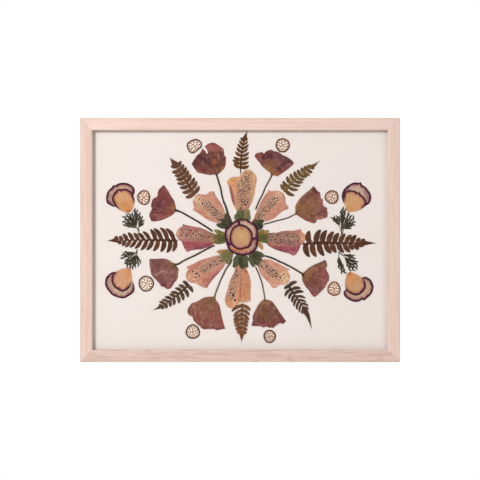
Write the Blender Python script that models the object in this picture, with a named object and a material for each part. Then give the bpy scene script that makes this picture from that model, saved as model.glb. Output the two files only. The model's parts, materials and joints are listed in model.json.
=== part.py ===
"""Pressed flower frame.

Dried foxglove bells, poppy heads, fern fronds, conifer sprigs, petals and seed slices lie in rings round
a centre on a pale board, behind glass, in a plain mitred wooden frame that hangs on a wall.

The origin is the point of the nail that the frame hangs on, in the wall's plane. +X is to the right and
+Z up for someone who looks at the picture, and the glass faces -Y. Every flat piece is placed by
millimetres right of and above the middle of the picture, and by its depth behind the frame's front.
"""

import math

import bmesh
import bpy
from mathutils import Matrix, Vector

MM = 0.001

# Driving dimensions, in millimetres
PICTURE = (400.0, 300.0)
LIP = 5.0
RAIL_WIDTH = 16.0
FRAME_DEPTH = 20.0
LIP_DEPTH = 4.0
EDGE_ROUND = 0.8
GLASS_THICKNESS = 2.0
BOARD_THICKNESS = 1.6
BACKING_THICKNESS = 3.0
CLEARANCE = 0.3
MITRE_GAP = 0.3
SHEET = 0.25
LEVEL_STEP = 0.5
LEVELS = 5
NAIL_BELOW_TOP = 34.0
STEM_WIDTH = 1.7

# Worked-out sizes, in millimetres
OUTER = tuple(side + 2 * (RAIL_WIDTH - LIP) for side in PICTURE)
CENTRE_Z = NAIL_BELOW_TOP - OUTER[1] / 2
GLASS_DEPTH = LIP_DEPTH + CLEARANCE
BOARD_DEPTH = GLASS_DEPTH + GLASS_THICKNESS + CLEARANCE + LEVELS * LEVEL_STEP
BACKING_DEPTH = BOARD_DEPTH + BOARD_THICKNESS + CLEARANCE
HANGER_DEPTH = BACKING_DEPTH + BACKING_THICKNESS + CLEARANCE

# Colours, as 0 to 255 screen values
MAPLE = (234, 209, 196)
GLASS_TINT = (236, 240, 238)
MOUNT_WHITE = (237, 227, 221)
BACKING_BROWN = (172, 138, 102)
STEEL = (176, 178, 180)
SLICE_BROWN = (150, 96, 62)
SPRIG_GREEN = (60, 65, 45)
CORNER_BACK = (196, 152, 130)
CORNER_FRONT = (206, 150, 104)
CENTRE_MAUVE = (185, 140, 125)
CENTRE_TAN = (210, 165, 115)

# Foxgloves: colour, outline of the bell, outline of the calyx it grows from
FOXGLOVES = {
    "n": (
        (220, 160, 115),
        [(-17.5, 76.9), (-14.8, 80.5), (-9.8, 83.5), (-3.9, 83.5), (1.5, 87.2), (5.4, 91.5), (9.4, 93.4),
         (14, 92.4), (18, 89.1), (22, 81.1), (20.3, 71.9), (19.3, 63.3), (16.7, 52.7), (12.1, 42.7),
         (6.5, 35), (0, 35), (-4.5, 38.8), (-9.1, 47.4), (-12.8, 60.6), (-14.5, 69.9)],
        [(-5.8, 33.4), (-3.2, 38.8), (0.1, 40.1), (5.4, 37.4), (8.7, 40.1), (12, 40.7), (12.4, 37.4),
         (9.4, 29.4), (7, 24), (-0.5, 24), (-3.8, 30.1)],
    ),
    "ne": (
        (215, 150, 130),
        [(21.3, 36.1), (24.6, 44.7), (30, 54.6), (38.2, 66.6), (40.9, 64.5), (45.9, 65.3), (50.5, 65.3),
         (55.2, 63.3), (58.5, 60), (59.8, 50), (63.8, 44.1), (63.8, 41.4), (55.2, 37.4), (47.9, 30.8),
         (39.3, 26.1), (30.6, 24.1), (24, 22.5), (15.4, 24.1), (20.5, 33)],
        [(18, 23.5), (20.7, 26.1), (24.7, 26.8), (31.6, 25.8), (29.6, 22.8), (30, 20.8), (23.4, 17.1),
         (19, 13.5), (15, 18)],
    ),
    "e": (
        (160, 80, 90),
        [(39.2, 9.2), (47.9, 9.5), (56.5, 11.9), (68.4, 12.2), (80.7, 13.8), (81.7, 10.9), (85, 8.2),
         (86.9, 3.5), (85.7, -1.1), (79.7, -7.1), (76.4, -15.1), (71.1, -20.7), (64.5, -17.7),
         (51.2, -14.1), (39.3, -8.4), (33.9, -3.1), (30.5, 0), (31, 6), (34.5, 9)],
        [(25.3, 10.2), (28, 12.8), (31.9, 13.8), (37.9, 12.8), (36.3, 8), (37, 1), (35.3, -3.7),
         (30.5, -4.5), (30.9, -12.4), (26.6, -11), (24.7, -3.8), (20, -3), (20, 8)],
    ),
    "se": (
        (215, 150, 125),
        [(29.9, -25.7), (35.3, -25.3), (45.9, -28.9), (56.5, -34.3), (65.4, -38.6), (63.1, -41.9),
         (66.1, -49.5), (63.1, -56.8), (59.8, -59.1), (51.2, -59.5), (45.2, -63.6), (42.2, -63.1),
         (40.6, -59.5), (32.6, -51.5), (28.6, -46.9), (26, -42.3), (24, -36.3), (21.5, -31), (25, -25.5)],
        [(14, -16.5), (20.6, -19.7), (26, -19.7), (31.9, -22.3), (28.9, -25.6), (27.3, -29.6),
         (24.6, -32.9), (19.3, -35.3), (17.3, -31), (15.7, -26.3), (12.5, -18)],
    ),
    "s": (
        (205, 140, 105),
        [(-6.5, -37.6), (-10.5, -47.5), (-15.2, -59.4), (-18.5, -71.4), (-19.8, -81.4), (-18.2, -86),
         (-15.2, -89.3), (-11.2, -90.5), (-7.9, -89.3), (-2.6, -84.4), (0.8, -82.7), (10.1, -81.7),
         (13.4, -80), (14.1, -76), (13.7, -69.4), (14.4, -59.4), (12.8, -48.2), (8.8, -38.9),
         (6, -33), (-3, -33)],
        [(-8.9, -32.3), (-6.5, -26.3), (-3, -17.5), (6, -17.5), (8.1, -22.3), (12.4, -27.6),
         (9.8, -28.3), (10.4, -32.3), (5.5, -38.3), (3.5, -38.3), (0.2, -35), (-8.5, -36.3)],
    ),
    "sw": (
        (212, 146, 122),
        [(-71.3, -35.6), (-58.9, -30), (-47, -25), (-34.4, -21.3), (-24, -20), (-20.5, -27),
         (-19.8, -31.6), (-25.8, -40.9), (-33.7, -49.5), (-40.4, -57.5), (-43.4, -63.1), (-47, -63.5),
         (-55, -59.5), (-59, -57.2), (-64.3, -56.5), (-68.9, -54.2), (-71.3, -50.9), (-71.6, -46.2),
         (-68.6, -38.9)],
        [(-30.7, -15.7), (-28.4, -13.1), (-23.7, -11.4), (-15.8, -14.4), (-12.5, -13), (-9.5, -16),
         (-11.1, -19), (-11.5, -23), (-13.8, -29), (-18.4, -31.3), (-23.7, -26.3), (-23.1, -22.3),
         (-28.4, -19)],
    ),
    "w": (
        (165, 82, 88),
        [(-75.9, 21.5), (-72.2, 19.8), (-60.3, 17.5), (-48.4, 14.8), (-38.4, 10.2), (-31.4, 6.8),
         (-29, 4), (-29.5, -2), (-33.7, -4.4), (-39.1, -7.8), (-51, -12.4), (-64.3, -13.7),
         (-70.9, -15.4), (-74.9, -8.4), (-77.6, -1.1), (-80.2, -0.5), (-84.9, 6.8), (-83.5, 12.1),
         (-80.2, 16.1), (-76.2, 18.1)],
        [(-33.7, 13.1), (-24.4, 9.1), (-16, 7), (-15, -2), (-19.8, -3.8), (-29.8, -4.5), (-34.4, -3.1),
         (-33.1, 0.2), (-31.8, 4.9)],
    ),
    "nw": (
        (210, 150, 125),
        [(-60.6, 55.6), (-58.3, 59.3), (-53.7, 61), (-44.4, 60.3), (-41.1, 63.3), (-37.7, 64.6),
         (-34.4, 64.3), (-31.1, 56.6), (-25.1, 48), (-20.8, 38.7), (-20.5, 29), (-25, 24.5),
         (-31.1, 22.5), (-40.4, 25.8), (-50.3, 32.1), (-63, 40.1), (-60, 43), (-62.3, 48.7)],
        [(-31.1, 20.1), (-29.8, 18.1), (-21.1, 16.3), (-17.1, 16.5), (-14, 13.5), (-9.5, 17.5),
         (-12.8, 22), (-12.8, 26.1), (-17.1, 34.7), (-19.8, 33.4), (-21.8, 29.4), (-22.1, 25.5),
         (-25.8, 23.5)],
    ),
}

# Poppies: colour, outline of the head, middle line of the stem from the head to its free end
POPPIES = {
    "nne": (
        (116, 60, 52),
        [(19.3, 110.7), (20.7, 114.4), (25.3, 116), (31.9, 114.4), (37.2, 118.7), (41.9, 119.7),
         (48.5, 117.4), (56.5, 112.7), (66.5, 107.4), (71.2, 101.7), (65.8, 95.8), (55.8, 88.5),
         (48.5, 84.4), (45.2, 85.8), (41.6, 84.2), (39.9, 88.8), (29.9, 97.1), (22.6, 106.4)],
        [(42.2, 87), (39.2, 79.9), (36.6, 75.2), (33.3, 69.2), (29.3, 59.3), (26, 53.3), (23.4, 47.3),
         (20.6, 40.4)],
    ),
    "ene": (
        (142, 88, 72),
        [(97.9, 71.5), (100.9, 67.9), (101.9, 65.3), (104.9, 63.9), (106.6, 60.6), (106.9, 55.3),
         (109.8, 53.4), (109.6, 48), (111.6, 44.7), (114.9, 43.1), (114.5, 38.7), (116.5, 36.7),
         (115.5, 30.4), (110.2, 27.2), (103, 27.4), (98, 22.2), (88.4, 25.1), (79.7, 30.1),
         (73.4, 34.4), (73.1, 44), (75.7, 49.3), (84.4, 59.9)],
        [(75.5, 35.8), (69.1, 32.1), (64.5, 29.8), (59.2, 28.1), (52.5, 26.5), (45.9, 24.8),
         (39.3, 22.8), (31.9, 21.1)],
    ),
    "ese": (
        (134, 76, 68),
        [(112.6, -26), (114.9, -30.3), (115.5, -33.7), (113.9, -37), (117.9, -46.9), (117.2, -54.2),
         (111.6, -63.5), (104.9, -70.5), (98.3, -75.7), (95, -72.7), (91.7, -67.4), (87.7, -62.8),
         (83, -54.2), (81.7, -46.2), (85, -42.3), (90.5, -37.4), (98.9, -32.5)],
        [(84.5, -45.9), (79.1, -42.6), (73.8, -39.3), (67.8, -35.9), (56.5, -30.3), (45.9, -25.3),
         (39.9, -23), (32.5, -20.7)],
    ),
    "sse": (
        (116, 62, 54),
        [(32.6, -78.7), (28.6, -80.7), (22.7, -88.7), (17.7, -98.6), (17, -107.2), (15.3, -111.9),
         (21.3, -114.2), (31.6, -116.2), (33.3, -114.8), (41.2, -116.6), (47.2, -113.6), (53.2, -110.3),
         (57.1, -111), (61.1, -107.3), (55.2, -99.3), (48.5, -89.4), (41.9, -81.1)],
        [(32.8, -81), (32.6, -75.4), (31.7, -70), (30.4, -63), (28.9, -56.2), (26.6, -49.5),
         (24, -42.9), (20.8, -36.6)],
    ),
    "ssw": (
        (142, 84, 68),
        [(-33.8, -76.1), (-43.7, -75.4), (-49, -76.8), (-58.3, -82.1), (-63.6, -83.7), (-68.9, -90.7),
         (-69.9, -95.3), (-67.9, -99.3), (-62.9, -102.3), (-58.9, -109.6), (-51.6, -115.9), (-45, -118.2),
         (-35.1, -117.9), (-31.8, -119.5), (-19.5, -117.9), (-23.1, -105.9), (-26.5, -89.3),
         (-28.4, -84)],
        [(-34.5, -78.5), (-31.8, -69), (-28.4, -60.1), (-25.8, -53.5), (-22.5, -46.9), (-19.1, -39.6),
         (-15.2, -33.9), (-12.4, -30), (-10.4, -25.7)],
    ),
    "wsw": (
        (126, 84, 78),
        [(-120, -24.9), (-106.7, -24.6), (-94.8, -26.3), (-86.5, -29.7), (-84.2, -33), (-81.5, -38.3),
         (-82.5, -49.5), (-86.9, -56.8), (-90.8, -62.8), (-94.1, -65.1), (-97.4, -64.8), (-104.1, -61.5),
         (-109.4, -54.8), (-116.7, -46.9), (-119.3, -36.9)],
        [(-86.5, -33.5), (-82.6, -32), (-75.6, -28), (-70.3, -25.3), (-63.6, -22.3), (-57, -19),
         (-50.3, -15.4), (-43.7, -11.7), (-33.7, -6.8)],
    ),
    "wnw": (
        (126, 66, 58),
        [(-101.1, 73), (-108, 65.9), (-110, 57.3), (-115, 54.7), (-118, 44.7), (-117, 41.4),
         (-119.7, 35.4), (-120, 30.7), (-117.4, 24.8), (-110.7, 24.3), (-102.7, 26.8), (-93.5, 31),
         (-86.9, 36), (-84.5, 40.7), (-86.2, 48.7), (-92.1, 59.3)],
        [(-87, 39.5), (-82.5, 38.7), (-76.9, 36.4), (-70.3, 32.7), (-65, 29.7), (-56.3, 24.7),
         (-50.3, 20.8), (-43.7, 16.8), (-35.8, 11.3)],
    ),
    "nnw": (
        (112, 48, 48),
        [(-64.2, 101), (-60.9, 106.4), (-53.6, 114.7), (-50, 120.7), (-45, 116.4), (-47, 123.7),
         (-39.7, 128.6), (-34.4, 129), (-22.4, 121.4), (-22.4, 115), (-18.5, 109), (-19.5, 98.4),
         (-25.1, 90.5), (-31.1, 85.4), (-39.7, 86.2), (-56.3, 89.8), (-61.9, 97.1)],
        [(-32.6, 88), (-29.4, 81.2), (-27.8, 75.2), (-25.8, 69.2), (-22.8, 54.7), (-19.5, 46),
         (-16.5, 35.4), (-13.5, 26), (-13.8, 20)],
    ),
}
# The top left poppy's stem end lies on a calyx, so the poppy leans up by this height over its length.
LEANING_POPPY = "nnw"
LEAN = 0.5

# Ferns: colour, share of the middle line that has leaflets, middle line from the stalk to the tip,
# leaflet tips on its left and on its right
FERNS = {
    "n": (
        (112, 68, 20),
        0.8,
        [(0.9, 89.4), (0.8, 92.5), (1.5, 106.4), (4.1, 126.3), (5.8, 134.2), (9.7, 144.4)],
        [(-9.8, 107.1), (-8.5, 110.4), (-6, 117.4), (-4.2, 122.7), (-2.9, 127.6), (-0.5, 131.9),
         (1.1, 136.2)],
        [(12, 98.7), (11.4, 104), (11.4, 110.4), (11.8, 116.4), (10.1, 121.7), (11.4, 127),
         (10.2, 131.3), (10.2, 135.6)],
    ),
    "ne": (
        (112, 82, 35),
        0.8,
        [(59.4, 65.1), (63.1, 69.9), (69.1, 76.5), (83, 89.1), (90.9, 95.1), (98.9, 99.8), (106.2, 105.4)],
        [(54.5, 74.6), (57.2, 78.5), (62.5, 84.8), (67.4, 88.5), (72.4, 91.5), (77, 93.8), (82, 96.4),
         (86, 98.4), (89.7, 99.8)],
        [(72.7, 59.3), (77.4, 66.9), (80.7, 72.5), (84, 76.9), (85.7, 80.5), (89.3, 84.2), (93, 86.2),
         (96.3, 89.8), (98.9, 95.1)],
    ),
    "e": (
        (95, 55, 28),
        0.8,
        [(85, -4), (100, -3.8), (130, -4.1), (160, -4.6), (181.5, -4.1)],
        [(92.3, 12.5), (107.3, 13.8), (115.2, 13.1), (124.5, 11.2), (131.5, 9.2), (139.8, 8.2),
         (148.1, 6.8), (154.4, 6.5), (158, 0.3), (165.3, 1.5)],
        [(92.6, -22.8), (101.6, -22.4), (111.9, -21), (121.5, -17.7), (128.1, -16.7), (138.1, -16.7),
         (146.4, -16.1), (150.7, -12.7), (157, -13), (160.7, -9.8)],
    ),
    "se": (
        (92, 58, 38),
        0.56,
        [(63, -60.4), (65.8, -62.9), (69.1, -68.1), (78.4, -80.7), (87, -94.6), (91, -102.6),
         (95.3, -118.5)],
        [(76.1, -55.5), (80.7, -64.1), (84.7, -69.1), (87, -77.4), (88, -83.1), (91, -88), (91.3, -92)],
        [(58.8, -65.4), (59.8, -75.4), (64.8, -78.7), (68.9, -83), (71.7, -88.3), (75.4, -92.7),
         (79, -96.3), (82.7, -98.9)],
    ),
    "s": (
        (140, 90, 60),
        0.76,
        [(3.4, -84.5), (2.7, -92.7), (2.1, -102.6), (2.1, -122.5), (2.1, -136.1)],
        [(13.7, -94), (12.7, -100.3), (12, -106.6), (11, -110.6), (10.4, -114.9), (9.7, -119.9),
         (8.7, -124.2)],
        [(-11.2, -95.3), (-8.6, -102), (-8.6, -107.2), (-8.2, -111), (-7.2, -114.9), (-5.9, -119.2),
         (-4.2, -123.2)],
    ),
    "sw": (
        (88, 65, 45),
        0.84,
        [(-68.9, -58.4), (-71.5, -62.8), (-76.9, -67.4), (-87.5, -76.7), (-93.5, -81.3), (-106.7, -89),
         (-115.4, -93.3)],
        [(-62.9, -69.8), (-69.2, -76.4), (-75.5, -80.4), (-81.2, -84.4), (-88.1, -86.7), (-92.8, -88.7),
         (-98.5, -91), (-102.4, -92)],
        [(-76.2, -54.9), (-81.9, -60.2), (-86.5, -64.1), (-92.2, -69.5), (-94.2, -72.5), (-100.1, -75.8),
         (-103.8, -79.4), (-107.4, -82.1), (-107.8, -86)],
    ),
    "w": (
        (90, 48, 22),
        0.84,
        [(-84.6, -0.8), (-100, 0), (-120, 0), (-140, -0.3), (-160, -1), (-177, -1.1)],
        [(-89.7, -15.3), (-97.3, -17), (-105.4, -15.7), (-115.3, -14.7), (-124.3, -13.4),
         (-131.9, -13.4), (-139.9, -11.4), (-146.5, -9.8), (-152.5, -9.4), (-156.5, -7.8),
         (-160.5, -5.8)],
        [(-98.8, 15.2), (-106.4, 16.5), (-114.7, 15.5), (-119.3, 14.2), (-129.3, 11.2), (-135.9, 9.5),
         (-141.3, 9.2), (-148.9, 9.9), (-155.6, 8.2), (-159.9, 5.5), (-164.9, 5.5)],
    ),
    "nw": (
        (112, 68, 40),
        0.78,
        [(-61.2, 60.6), (-62.9, 64.6), (-66.2, 69.9), (-74.9, 82.5), (-80.2, 90.5), (-86.8, 100.4),
         (-93.5, 110.1)],
        [(-72.5, 56.6), (-76.9, 63.2), (-80.2, 69.9), (-83.8, 75.5), (-84.8, 80.9), (-86.8, 85.8),
         (-90.5, 90.5), (-92.1, 98.4)],
        [(-54.3, 71.9), (-57.6, 78.5), (-60.9, 83.2), (-65.6, 87.5), (-68.6, 92.5), (-71.5, 97.1),
         (-74.9, 100.8), (-78.5, 105.1)],
    ),
}
# Where along its middle line a fern's leaflets start, the part of their spacing that their width
# takes up, how far out they are widest, and how narrow one that lies along the fern may be
LEAFLET_START = 0.04
LEAFLET_FILL = 0.78
LEAFLET_BELLY = 0.55
LEAFLET_NARROWEST = 0.5
FERN_STALK = 1.6

# Conifer sprigs: foot of the stem, then the branch tips from one side of the fan to the other
SPRIGS = {
    "ne": [(135.1, 8.7), (121.5, 30.4), (127.5, 31.5), (131.4, 33.4), (133.8, 41.1), (136.6, 43.4),
           (140.5, 42), (145.4, 38.5), (150.5, 34.5), (152.6, 29), (152.4, 22.5), (147.4, 15.8)],
    "se": [(130.6, -17.2), (151.4, -21), (152.6, -24.7), (155.4, -29.6), (156.6, -34), (155.4, -39),
           (148.6, -42.5), (143, -42), (139.1, -45.6), (135.1, -43.9), (131.4, -38.3), (129.4, -29.7)],
    "sw": [(-136.3, -13.2), (-130.3, -27), (-131.2, -32), (-134.6, -35.2), (-139, -37), (-143, -39),
           (-147.9, -39.6), (-152, -36.6), (-153.4, -31), (-158.2, -26), (-158, -20.4),
           (-154.8, -16.4)],
    "nw": [(-134.2, 11.3), (-155, 20.3), (-156, 25.1), (-155.6, 31), (-151.5, 34.7), (-147.2, 36.5),
           (-143.8, 38.5), (-140.2, 42), (-136.3, 39), (-133.2, 35.7), (-129.6, 31.4), (-126.9, 25.7)],
}
SPRIG_STEM_WIDTH = 1.5
SPRIG_NOTCH = 0.55

# Seed slices: middle, width, height, and how far and which way the rim is drawn out
SEED_SLICES = {
    "nne": (56.6, 125.7, 19.0, 19.2, 0.02, 0.4),
    "ene": (121.7, 56.9, 18.5, 18.4, 0.03, 1.0),
    "ese": (124.7, -64.8, 17.8, 19.2, 0.04, 1.4),
    "sse": (39.3, -127.8, 16.7, 17.9, 0.02, 2.5),
    "ssw": (-62.6, -121.7, 19.1, 19.4, 0.03, 3.6),
    "wsw": (-124.4, -57.8, 20.6, 21.2, 0.02, 4.4),
    "wnw": (-127.6, 56.3, 17.5, 20.0, 0.03, 5.2),
    "nnw": (-60.3, 124.3, 20.6, 19.6, 0.07, 2.2),
}
SLICE_POINTS = 24

# Petals in the corners: outlines of the back and the front petal of each pair
CORNER_PETALS = {
    "ne": (
        [(138.1, 48.3), (134.9, 58.6), (136.1, 63.9), (139.4, 69.2), (149.4, 75.7), (157.4, 75.8),
         (160.4, 76.8), (161.7, 73.5), (170.3, 65.9), (174, 56.6), (170.3, 47.4), (164.7, 44),
         (150, 47), (143, 46)],
        [(138.7, 62.6), (146.7, 66.2), (152, 65.2), (158.7, 63), (164, 57.3), (167.6, 48.7),
         (162, 42.1), (152, 38.1), (144.1, 36.9), (140.1, 44), (137.5, 55)],
    ),
    "se": (
        [(138.1, -67.8), (137.4, -71.5), (144.1, -79.1), (154, -82.2), (162, -79.4), (164.3, -80.4),
         (172, -74.1), (177, -63.5), (174, -53.6), (166, -48.6), (157, -53), (143, -63)],
        [(144.8, -42.3), (153.4, -45), (162.7, -50.9), (166.8, -59.6), (163.7, -68.2),
         (155.4, -73.5), (145.4, -70.8), (139.4, -61.5), (140.4, -50.2)],
    ),
    "sw": (
        [(-174.8, -46.2), (-178.9, -54.8), (-176.5, -64.8), (-169.1, -73.4), (-158.5, -77.1),
         (-149.9, -75.7), (-141.2, -69.4), (-140.5, -60.1), (-149, -50), (-165.8, -42.2)],
        [(-145.8, -36.9), (-156.5, -38.2), (-165.1, -42.9), (-170.5, -50.2), (-168.8, -59.5),
         (-161.8, -65.8), (-155.8, -68.4), (-147.9, -64.4), (-143.9, -54.8), (-144.2, -42.9)],
    ),
    "nw": (
        [(-176.6, 49.3), (-176.8, 61.2), (-170.5, 69.5), (-167.8, 72.8), (-157.2, 75.8),
         (-146.5, 74.2), (-140, 67.9), (-144, 57), (-158, 46.5), (-164.5, 44.1), (-172, 45.6)],
        [(-161.8, 67.6), (-151.8, 68.2), (-143.2, 62.6), (-139.9, 52), (-143.9, 39.4),
         (-149.8, 36.8), (-160.5, 40.4), (-169.7, 53.3), (-167.1, 62.6)],
    ),
}

# The ring of three broad petals under the middle one: each lies a level above the one before it
RING_PETALS = {
    "right": [(-4, 24.5), (4.8, 28.1), (14.7, 24.1), (20.7, 19.5), (24, 8.8), (20, -1), (13, -3),
              (4, -1), (-4, 6), (-7, 15)],
    "bottom": [(22.9, 2.8), (23.3, -7.1), (16.7, -16.4), (5.5, -20.4), (4.1, -21.6), (0.8, -20.4),
               (-10.5, -16.7), (-17.4, -7.5), (-17, -2), (-3, 3.5), (13, 0.5)],
    "left": [(-18.1, -2.4), (-20.5, 10.2), (-13.1, 20.1), (-4.5, 26.1), (-2.3, 27.4), (0.5, 20),
             (-4, 3), (-12.5, -7.5)],
}
MIDDLE_PETAL = [(0.1, 20.8), (10.8, 16.5), (16.4, 9.5), (16.1, -0.5), (11.8, -10.4), (3.5, -12.4),
                (-6.5, -10.7), (-13.5, -3.1), (-12.1, 8.2), (-7.2, 17.5)]

# Sawtooth hanger, in millimetres
HANGER_LENGTH = 44.0
HANGER_FOOT = 9.0
HANGER_STEEL = 0.8
HANGER_RISE = 2.1
HANGER_RUN = 2.0
HANGER_HEIGHT = 8.0
TOOTH_PITCH = 3.0
TOOTH_DEPTH = 1.8
TOOTH_FLAT = 0.2
NOTCHES = 7


def new_collection(name):
    """A collection under the scene's own."""
    collection = bpy.data.collections.new(name)
    bpy.context.scene.collection.children.link(collection)
    return collection


def linear(value):
    """A 0 to 255 screen value as the linear value that a shader takes."""
    share = value / 255
    return share / 12.92 if share <= 0.04045 else ((share + 0.055) / 1.055) ** 2.4


def material(name, colour, roughness, metallic=0.0, alpha=1.0):
    """A Principled material of a screen colour."""
    made = bpy.data.materials.new(name)
    made.use_nodes = True
    shader = made.node_tree.nodes["Principled BSDF"]
    shader.inputs["Base Color"].default_value = (*[linear(part) for part in colour], 1.0)
    shader.inputs["Roughness"].default_value = roughness
    shader.inputs["Metallic"].default_value = metallic
    shader.inputs["Alpha"].default_value = alpha
    return made


def picture_place(x, z, depth):
    """A place right of and above the picture's middle, at a depth behind the frame's front."""
    return Vector((x, depth - FRAME_DEPTH, z + CENTRE_Z)) * MM


def level_depth(level):
    """Depth of the middle of a pressed piece that lies on so many others."""
    return BOARD_DEPTH - (level + 1) * LEVEL_STEP + SHEET / 2


def outline_curve(name, points, thickness, smooth):
    """A flat outline in local XY, in millimetres, thickened evenly to both sides of local Z = 0."""
    curve = bpy.data.curves.new(name, "CURVE")
    curve.dimensions = "2D"
    curve.fill_mode = "BOTH"
    curve.extrude = thickness / 2 * MM
    curve.resolution_u = 2
    spline = curve.splines.new("BEZIER" if smooth else "POLY")
    if smooth:
        spline.bezier_points.add(len(points) - 1)
        for knot, (x, y) in zip(spline.bezier_points, points):
            knot.co = (x * MM, y * MM, 0)
            knot.handle_left_type = knot.handle_right_type = "AUTO"
    else:
        spline.points.add(len(points) - 1)
        for knot, (x, y) in zip(spline.points, points):
            knot.co = (x * MM, y * MM, 0, 1)
    spline.use_cyclic_u = True
    return bpy.data.objects.new(name, curve)


def meshed(curve_object, collection):
    """The curve object as a mesh object with its caps welded to its sides."""
    collection.objects.link(curve_object)
    bpy.context.view_layer.update()
    graph = bpy.context.evaluated_depsgraph_get()
    mesh = bpy.data.meshes.new_from_object(curve_object.evaluated_get(graph))
    name, place = curve_object.name, curve_object.matrix_world.copy()
    bpy.data.objects.remove(curve_object)
    made = bpy.data.objects.new(name, mesh)
    made.matrix_world = place
    mesh.name = name
    collection.objects.link(made)
    cage = bmesh.new()
    cage.from_mesh(mesh)
    bmesh.ops.remove_doubles(cage, verts=cage.verts, dist=1e-6)
    bmesh.ops.recalc_face_normals(cage, faces=cage.faces)
    cage.to_mesh(mesh)
    cage.free()
    return made


def flat_piece(name, points, level, colour, smooth=True):
    """A pressed piece of the given outline, lying flat in the picture at its level."""
    piece = outline_curve(name, points, SHEET, smooth)
    piece.location = picture_place(0, 0, level_depth(level))
    piece.rotation_euler = (math.radians(90), 0, 0)
    piece = meshed(piece, PARTS)
    piece.data.materials.append(material(name, colour, 0.85))
    return piece


def joined(piece, other):
    """Makes the other solid part of the piece, as one grown thing."""
    for owner in other.users_collection:
        owner.objects.unlink(other)
    CUTTERS.objects.link(other)
    other.hide_render = True
    other.display_type = "WIRE"
    union = piece.modifiers.new("grown together", "BOOLEAN")
    union.operation = "UNION"
    union.solver = "EXACT"
    union.object = other
    return piece


def box(name, width, height, depth_from, depth_to, finish):
    """A sheet that fills the picture's opening in the frame, between two depths."""
    thickness = depth_to - depth_from
    cage = bmesh.new()
    size = Matrix.Diagonal((width * MM, thickness * MM, height * MM, 1))
    bmesh.ops.create_cube(cage, size=1, matrix=size)
    mesh = bpy.data.meshes.new(name)
    cage.to_mesh(mesh)
    cage.free()
    sheet = bpy.data.objects.new(name, mesh)
    sheet.location = picture_place(0, 0, (depth_from + depth_to) / 2)
    mesh.materials.append(finish)
    PARTS.objects.link(sheet)
    return sheet


def rail(name, length, quarter_turns, finish):
    """One side of the frame: the rebated moulding, cut to 45 degrees at both ends.

    Local X runs from the outer edge inwards, local Y from front to back, and local Z along the rail.
    """
    wide, round_off = RAIL_WIDTH, EDGE_ROUND
    rebate = RAIL_WIDTH - LIP
    profile = [(round_off, 0), (wide - round_off, 0), (wide, round_off), (wide, LIP_DEPTH),
               (rebate, LIP_DEPTH), (rebate, FRAME_DEPTH), (0, FRAME_DEPTH), (0, round_off)]
    made = meshed(outline_curve(name, profile, length + 2 * wide, False), PARTS)
    cage = bmesh.new()
    cage.from_mesh(made.data)
    for end in (-1, 1):
        mitre = Vector((0, 0, end * (length / 2 - MITRE_GAP / math.sqrt(2)))) * MM
        bmesh.ops.bisect_plane(cage, geom=cage.verts[:] + cage.edges[:] + cage.faces[:], dist=1e-7,
                               plane_co=mitre, plane_no=Vector((1, 0, end)), clear_outer=True)
        bmesh.ops.holes_fill(cage, edges=[edge for edge in cage.edges if edge.is_boundary])
    bmesh.ops.recalc_face_normals(cage, faces=cage.faces)
    cage.to_mesh(made.data)
    cage.free()
    across = OUTER[1] if quarter_turns % 2 == 0 else OUTER[0]
    inwards_down = Matrix(((0, 0, 1), (0, 1, 0), (-1, 0, 0))).to_4x4()
    turned = Matrix.Rotation(math.radians(90 * quarter_turns), 4, "Y")
    made.matrix_world = (Matrix.Translation(picture_place(0, 0, 0)) @ turned
                         @ Matrix.Translation((0, 0, across / 2 * MM)) @ inwards_down)
    made.data.materials.append(finish)
    return made


def make_frame():
    """Four rails, the glass, the board that the flowers lie on and the board behind it."""
    maple = material("maple", MAPLE, 0.5)
    for turns, (side, length) in enumerate(
        (("top", OUTER[0]), ("right", OUTER[1]), ("bottom", OUTER[0]), ("left", OUTER[1]))
    ):
        rail(f"rail_{side}", length, turns, maple)
    width, height = (side - 2 * CLEARANCE for side in PICTURE)
    box("glass", width, height, GLASS_DEPTH, GLASS_DEPTH + GLASS_THICKNESS,
        material("glass", GLASS_TINT, 0.02, alpha=0.3))
    box("mount_board", width, height, BOARD_DEPTH, BOARD_DEPTH + BOARD_THICKNESS,
        material("mount board", MOUNT_WHITE, 0.9))
    box("backing_board", width, height, BACKING_DEPTH, BACKING_DEPTH + BACKING_THICKNESS,
        material("backing board", BACKING_BROWN, 0.85))


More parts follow.
